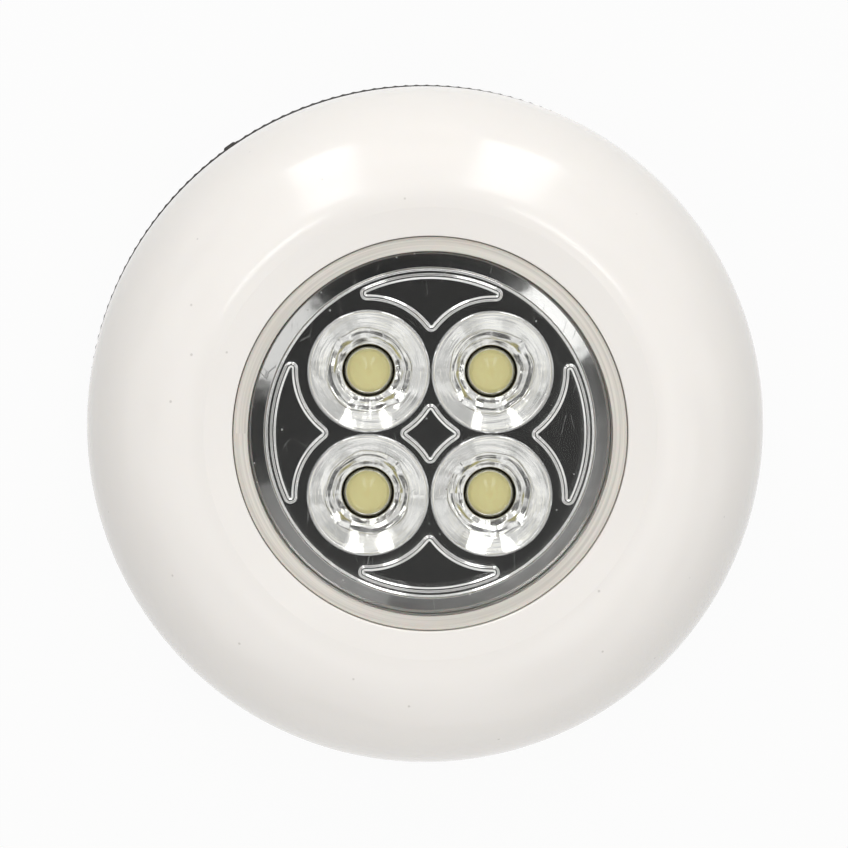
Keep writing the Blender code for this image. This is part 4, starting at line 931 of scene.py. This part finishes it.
class LEDLIGHT_OT_reflector(bpy.types.Operator):
    """Makes the metallised reflector with its bowls and relief"""

    bl_idname = "led_light.reflector"
    bl_label = "Reflector"

    def execute(self, context):
        sizes = context.scene.led_light_sizes
        face = RAISED - 0.4 * MM
        under = face - 0.9 * MM
        ridge, half, ridge_height = sizes.ridge_radius, 0.19 * MM, 0.12 * MM
        ridge_profile = [(ridge - half - 0.02 * MM, face)]
        for i in range(13):
            share = i / 12
            swell = (1 - math.cos(2 * math.pi * share)) / 2
            ridge_profile.append((ridge - half + 2 * half * share, face + ridge_height * swell))
        # outside the ridge the plate falls away a hair
        flange_top, inner_wall, soft = FLANGE_BOTTOM + 1.0 * MM, 16.4 * MM, 0.1 * MM
        rim = filleted([(ridge + half + 0.02 * MM, face, 0),
                        (sizes.reflector_radius, face - 0.054 * MM, soft),
                        (sizes.reflector_radius, flange_top, soft), (FLANGE_RADIUS, flange_top, soft),
                        (FLANGE_RADIUS, FLANGE_BOTTOM, soft), (inner_wall, FLANGE_BOTTOM, soft),
                        (inner_wall, under, 0.2 * MM), (15.6 * MM, under, 0)], closed=False)
        bowl_centres = [(sx * sizes.led_spread, sy * sizes.led_spread) for sx in (-1, 1) for sy in (-1, 1)]
        # an open dish from the lip to the shelf, and a narrow well round the LED below it
        lip, shelf, well, hole = sizes.bowl_radius, 4.15 * MM, 4.07 * MM, 2.56 * MM
        lip_z, steepness = face - 0.12 * MM, 8.2 * MM
        dish = [(lip - (lip - shelf) * i / 10) for i in range(11)]
        dish = [(r, lip_z - (lip ** 2 - r ** 2) / (2 * steepness)) for r in dish]
        # a fine bead stands round each bowl's lip
        top = [(lip + out * MM, face + rise * MM) for out, rise in (
            (0.225, 0), (0.2, 0), (0.18, 0.015), (0.15, 0.045), (0.12, 0.07), (0.09, 0.075), (0.05, 0.045),
            (0.02, 0))]
        top.append(dish[0])
        shelf_z = dish[-1][1]
        bottom = filleted([(*dish[-2], 0), (*dish[-1], 0.04 * MM), (well, shelf_z - 1.25 * MM, 0.12 * MM),
                           (3.5 * MM, shelf_z - 1.31 * MM, 0.15 * MM),
                           (3.15 * MM, shelf_z - 1.54 * MM, 0.15 * MM), (hole, shelf_z - 1.6 * MM, 0.08 * MM),
                           (hole, shelf_z - 2.5 * MM, 0)], closed=False)
        socket, socket_foot = 5.0 * MM, 19.5 * MM
        shell = [(hole, socket_foot), (socket, socket_foot), (lip + 0.12 * MM, under)]
        bowl = top[:-1] + dish[:-2] + bottom + shell

        def unsettle(verts, centre):
            """Gives the edge of a bowl's well the waves and the two nicks of a hand-finished tool."""
            diagonal = math.atan2(centre[1], centre[0])
            for vert in verts:
                dx, dy = vert.co.x - centre[0], vert.co.y - centre[1]
                radius, angle = math.hypot(dx, dy), math.atan2(dy, dx)
                window = max(0.0, 1 - abs(radius - 3.7 * MM) / (1.0 * MM))
                if vert.co.z < shelf_z - 2.2 * MM or not window:
                    continue
                nick = max(math.cos(2 * (angle - diagonal)), 0) ** 24
                push = 0.035 * math.sin(3 * angle + diagonal) + 0.02 * math.sin(8 * angle) + 0.06 * nick
                vert.co.x += dx * push * window
                vert.co.y += dy * push * window
                vert.co.z += 0.45 * MM * nick * window * (vert.co.z < shelf_z - 0.3 * MM)

        def draw(bm):
            loops = lathe(bm, ridge_profile + rim[1:], closed=False)
            top_loops, bottom_loops = [loops[0]], [loops[-1]]
            for centre in bowl_centres:
                rings = lathe(bm, bowl, MEDIUM, centre, False)
                top_loops.append(rings[0])
                bottom_loops.append(rings[-1])
                unsettle([vert for loop in rings for vert in loop], centre)
            for outline, degrees in ((crescent, 0), (crescent, 90), (crescent, 180), (crescent, 270),
                                     (diamond, 0)):
                rings = skin(bm, [turned(points, degrees) for points in bead_rings(outline, sizes, face)])
                top_loops.append(rings[0])
                bm.faces.new(rings[-1])
            fill_between(bm, top_loops)
            fill_between(bm, bottom_loops)

        def draw_ears(bm):
            root = 19.2 * MM
            ear = [(root, -BOSS_RADIUS)]
            ear += arc((BOSS_CIRCLE, 0), BOSS_RADIUS, -math.pi / 2, math.pi / 2, 20) + [(root, BOSS_RADIUS)]
            levels = (FLANGE_BOTTOM + 0.1 * MM, flange_top - 0.1 * MM)
            for angle in BOSS_ANGLES:
                middle = polar(BOSS_CIRCLE, math.radians(angle))
                outer = skin(bm, [[(*point, z) for point in turned(ear, angle)] for z in levels])
                inner = skin(bm, [ring(BOSS_BORE, z, SMALL, middle) for z in levels])
                for level in (0, 1):
                    fill_between(bm, [outer[level], inner[level]])

        chrome = aluminium_metallised(sizes)
        add_piece("metallised_reflector", draw, chrome, "dome", ["reflector"])
        add_piece("reflector_ears", draw_ears, chrome, "dome")
        return {"FINISHED"}


# Stage

# Where the camera stands: its tilt from the light's axis, the side it leans to, and its distance
CAMERA_TILT = math.radians(3.84)
CAMERA_SIDE = math.radians(119.1)
CAMERA_DISTANCE = 201 * MM
CAMERA_LENS = 83.4
CAMERA_ROLL = math.radians(0.5)
AIM = Vector((-0.2, 0.18, 14)) * MM

# The panels: name, place round the light in degrees, distance, lower and upper height, width, radiance
PANELS = (("softbox_left", 112, 0.40, 0.09, 0.80, 0.100, 3.0),
          ("softbox_right", 69.5, 0.40, 0.09, 0.80, 0.115, 3.0),
          ("tent_gap_right", 20, 0.30, 1.50, 2.40, 0.15, 1.4),
          ("tent_gap_left", 163, 0.30, 1.90, 3.80, 0.25, 0.90),
          ("tent_gap_low", 244, 0.30, 0.98, 2.13, 0.27, 0.2),
          ("strip_right", 42, 0.30, 0.90, 1.05, 0.20, 6.0),
          ("strip_left", 136, 0.30, 0.90, 1.05, 0.20, 6.0))


def ray_is(tree, *kinds):
    """1 for a ray of one of these kinds, and else 0."""
    rays = add_node(tree, "ShaderNodeLightPath").outputs
    found = rays[kinds[0]]
    for kind in kinds[1:]:
        found = maths(tree, "MAXIMUM", found, rays[kind])
    return found


def add_panel(name, azimuth, distance, low, high, width, radiance):
    """An upright soft panel beside the light, between two heights, with one radiance all over."""
    lamp = bpy.data.lights.new(name, "AREA")
    lamp.shape = "RECTANGLE"
    lamp.size, lamp.size_y = width, high - low
    lamp.energy = radiance * math.pi * width * (high - low)
    turn = math.radians(azimuth)
    stand = bpy.data.objects.new(name, lamp)
    stand.location = (*polar(distance, turn), (low + high) / 2)
    stand.rotation_euler = (math.pi / 2, 0, turn + math.pi / 2)
    stand.visible_camera = False
    bpy.context.scene.collection.objects.link(stand)


class LEDLIGHT_OT_stage(bpy.types.Operator):
    """Makes the floor, the lamps, the surroundings and the camera"""

    bl_idname = "led_light.stage"
    bl_label = "Stage"

    def execute(self, context):
        self.add_camera(context.scene)
        self.add_floor(context.scene)
        self.add_world(context.scene)
        for panel in PANELS:
            add_panel(*panel)
        context.scene.view_settings.view_transform = "Standard"
        return {"FINISHED"}

    def add_camera(self, scene):
        camera = bpy.data.cameras.new("camera")
        camera.lens = CAMERA_LENS
        camera.clip_start = 0.01
        stand = bpy.data.objects.new("camera", camera)
        sky = Vector((math.sin(CAMERA_TILT) * math.cos(CAMERA_SIDE),
                      math.sin(CAMERA_TILT) * math.sin(CAMERA_SIDE), math.cos(CAMERA_TILT)))
        place = AIM + sky * CAMERA_DISTANCE
        across = Vector((0, 1, 0)).cross(sky).normalized()
        up = sky.cross(across)
        turn = Matrix((across, up, sky)).transposed().to_4x4()
        stand.matrix_world = Matrix.Translation(place) @ turn @ Matrix.Rotation(CAMERA_ROLL, 4, "Z")
        scene.collection.objects.link(stand)
        scene.camera = stand

    def add_floor(self, scene):
        """A matt sheet, four metres to each side, that takes the shadow and looks nearly white of itself."""
        mesh = bpy.data.meshes.new("floor")
        reach, white_share = 4.0, 0.95
        corners = [(-reach, -reach, 0), (reach, -reach, 0), (reach, reach, 0), (-reach, reach, 0)]
        mesh.from_pydata(corners, [], [(0, 1, 2, 3)])
        material, tree, shader = base_material("paper_backdrop_matt", {"Roughness": 0.9})
        shader.inputs["Base Color"].default_value = (*scene.led_light_colours.floor, 1)
        seen = ray_is(tree, "Is Camera Ray", "Is Glossy Ray", "Is Transmission Ray")
        white = add_node(tree, "ShaderNodeEmission", {"Color": (1, 1, 1, 1), "Strength": 1.0})
        mix = add_node(tree, "ShaderNodeMixShader", {
            0: maths(tree, "MULTIPLY", seen, white_share), 1: shader.outputs["BSDF"],
            2: white.outputs["Emission"]})
        tree.links.new(mix.outputs["Shader"], tree.nodes["Material Output"].inputs["Surface"])
        mesh.materials.append(material)
        floor = bpy.data.objects.new("floor", mesh)
        scene.collection.objects.link(floor)

    def add_world(self, scene):
        """A pale tent, open and dark straight above the light, that the camera sees as plain white."""
        world = bpy.data.worlds.new("studio_tent")
        world.use_nodes = True
        scene.world = world
        tree = world.node_tree
        where = add_node(tree, "ShaderNodeTexCoord").outputs["Generated"]
        direction = add_node(tree, "ShaderNodeSeparateXYZ", {0: where}).outputs
        # metal and glass show the white tent round its dark opening
        tilt = maths(tree, "ARCCOSINE", direction["Z"])
        tent = ranged(tree, tilt, math.radians(9.5), math.radians(24.5), 0.036, 1.0, "SMOOTHSTEP")
        # its walls are patchy, as cloth with folds is
        folds = add_node(tree, "ShaderNodeTexNoise", {"Vector": where, "Scale": 2.6, "Detail": 1.5})
        shown = maths(tree, "MULTIPLY", tent, ranged(tree, folds.outputs["Fac"], 0.32, 0.58, 0.58, 1.25))
        # the light it sends grows towards its top, front and back, and is least from left and right
        sent = 0.03
        for axis, power, share in (("Z", 4, 1.56), ("Y", 1, -0.12), ("Y", 2, 0.92)):
            sent = maths(tree, "MULTIPLY_ADD", maths(tree, "POWER", direction[axis], power), share, sent)
        mirrored = ray_is(tree, "Is Glossy Ray", "Is Transmission Ray")
        tone = add_node(tree, "ShaderNodeMix", {"data_type": "FLOAT", 0: mirrored, 2: sent, 3: shown})
        tone = add_node(tree, "ShaderNodeMix", {
            "data_type": "FLOAT", 0: ray_is(tree, "Is Camera Ray"), 2: tone.outputs[0], 3: 1.0})
        background = tree.nodes["Background"]
        background.inputs["Color"].default_value = (1, 1, 1, 1)
        tree.links.new(tone.outputs[0], background.inputs["Strength"])


OPERATORS = (LEDLIGHT_OT_stage, LEDLIGHT_OT_adhesive_pad, LEDLIGHT_OT_back_cover, LEDLIGHT_OT_holder,
             LEDLIGHT_OT_metalwork, LEDLIGHT_OT_springs, LEDLIGHT_OT_leads, LEDLIGHT_OT_leds,
             LEDLIGHT_OT_reflector, LEDLIGHT_OT_lens, LEDLIGHT_OT_dome)


class LEDLIGHT_PT_sidebar(bpy.types.Panel):
    """Lists the pieces of the light with their sizes and colours"""

    bl_label = "LED Light"
    bl_idname = "LEDLIGHT_PT_sidebar"
    bl_space_type = "VIEW_3D"
    bl_region_type = "UI"
    bl_category = "LED Light"

    def draw(self, context):
        for operator in OPERATORS:
            self.layout.operator(operator.bl_idname)
        for group in settings_of(context):
            box = self.layout.box()
            for name in group.__annotations__:
                box.prop(group, name)


CLASSES = (LedLightSizes, LedLightColours, *OPERATORS, LEDLIGHT_PT_sidebar)


def register():
    for item in CLASSES:
        bpy.utils.register_class(item)
    bpy.types.Scene.led_light_sizes = PointerProperty(type=LedLightSizes)
    bpy.types.Scene.led_light_colours = PointerProperty(type=LedLightColours)


def unregister():
    del bpy.types.Scene.led_light_colours
    del bpy.types.Scene.led_light_sizes
    for item in reversed(CLASSES):
        bpy.utils.unregister_class(item)


def main():
    register()
    bpy.ops.led_light.stage()
    bpy.ops.led_light.adhesive_pad()
    bpy.ops.led_light.back_cover()
    bpy.ops.led_light.holder()
    bpy.ops.led_light.metalwork()
    bpy.ops.led_light.springs()
    bpy.ops.led_light.leads()
    bpy.ops.led_light.leds()
    bpy.ops.led_light.reflector()
    bpy.ops.led_light.lens()
    bpy.ops.led_light.dome()


if __name__ == "__main__":
    main()
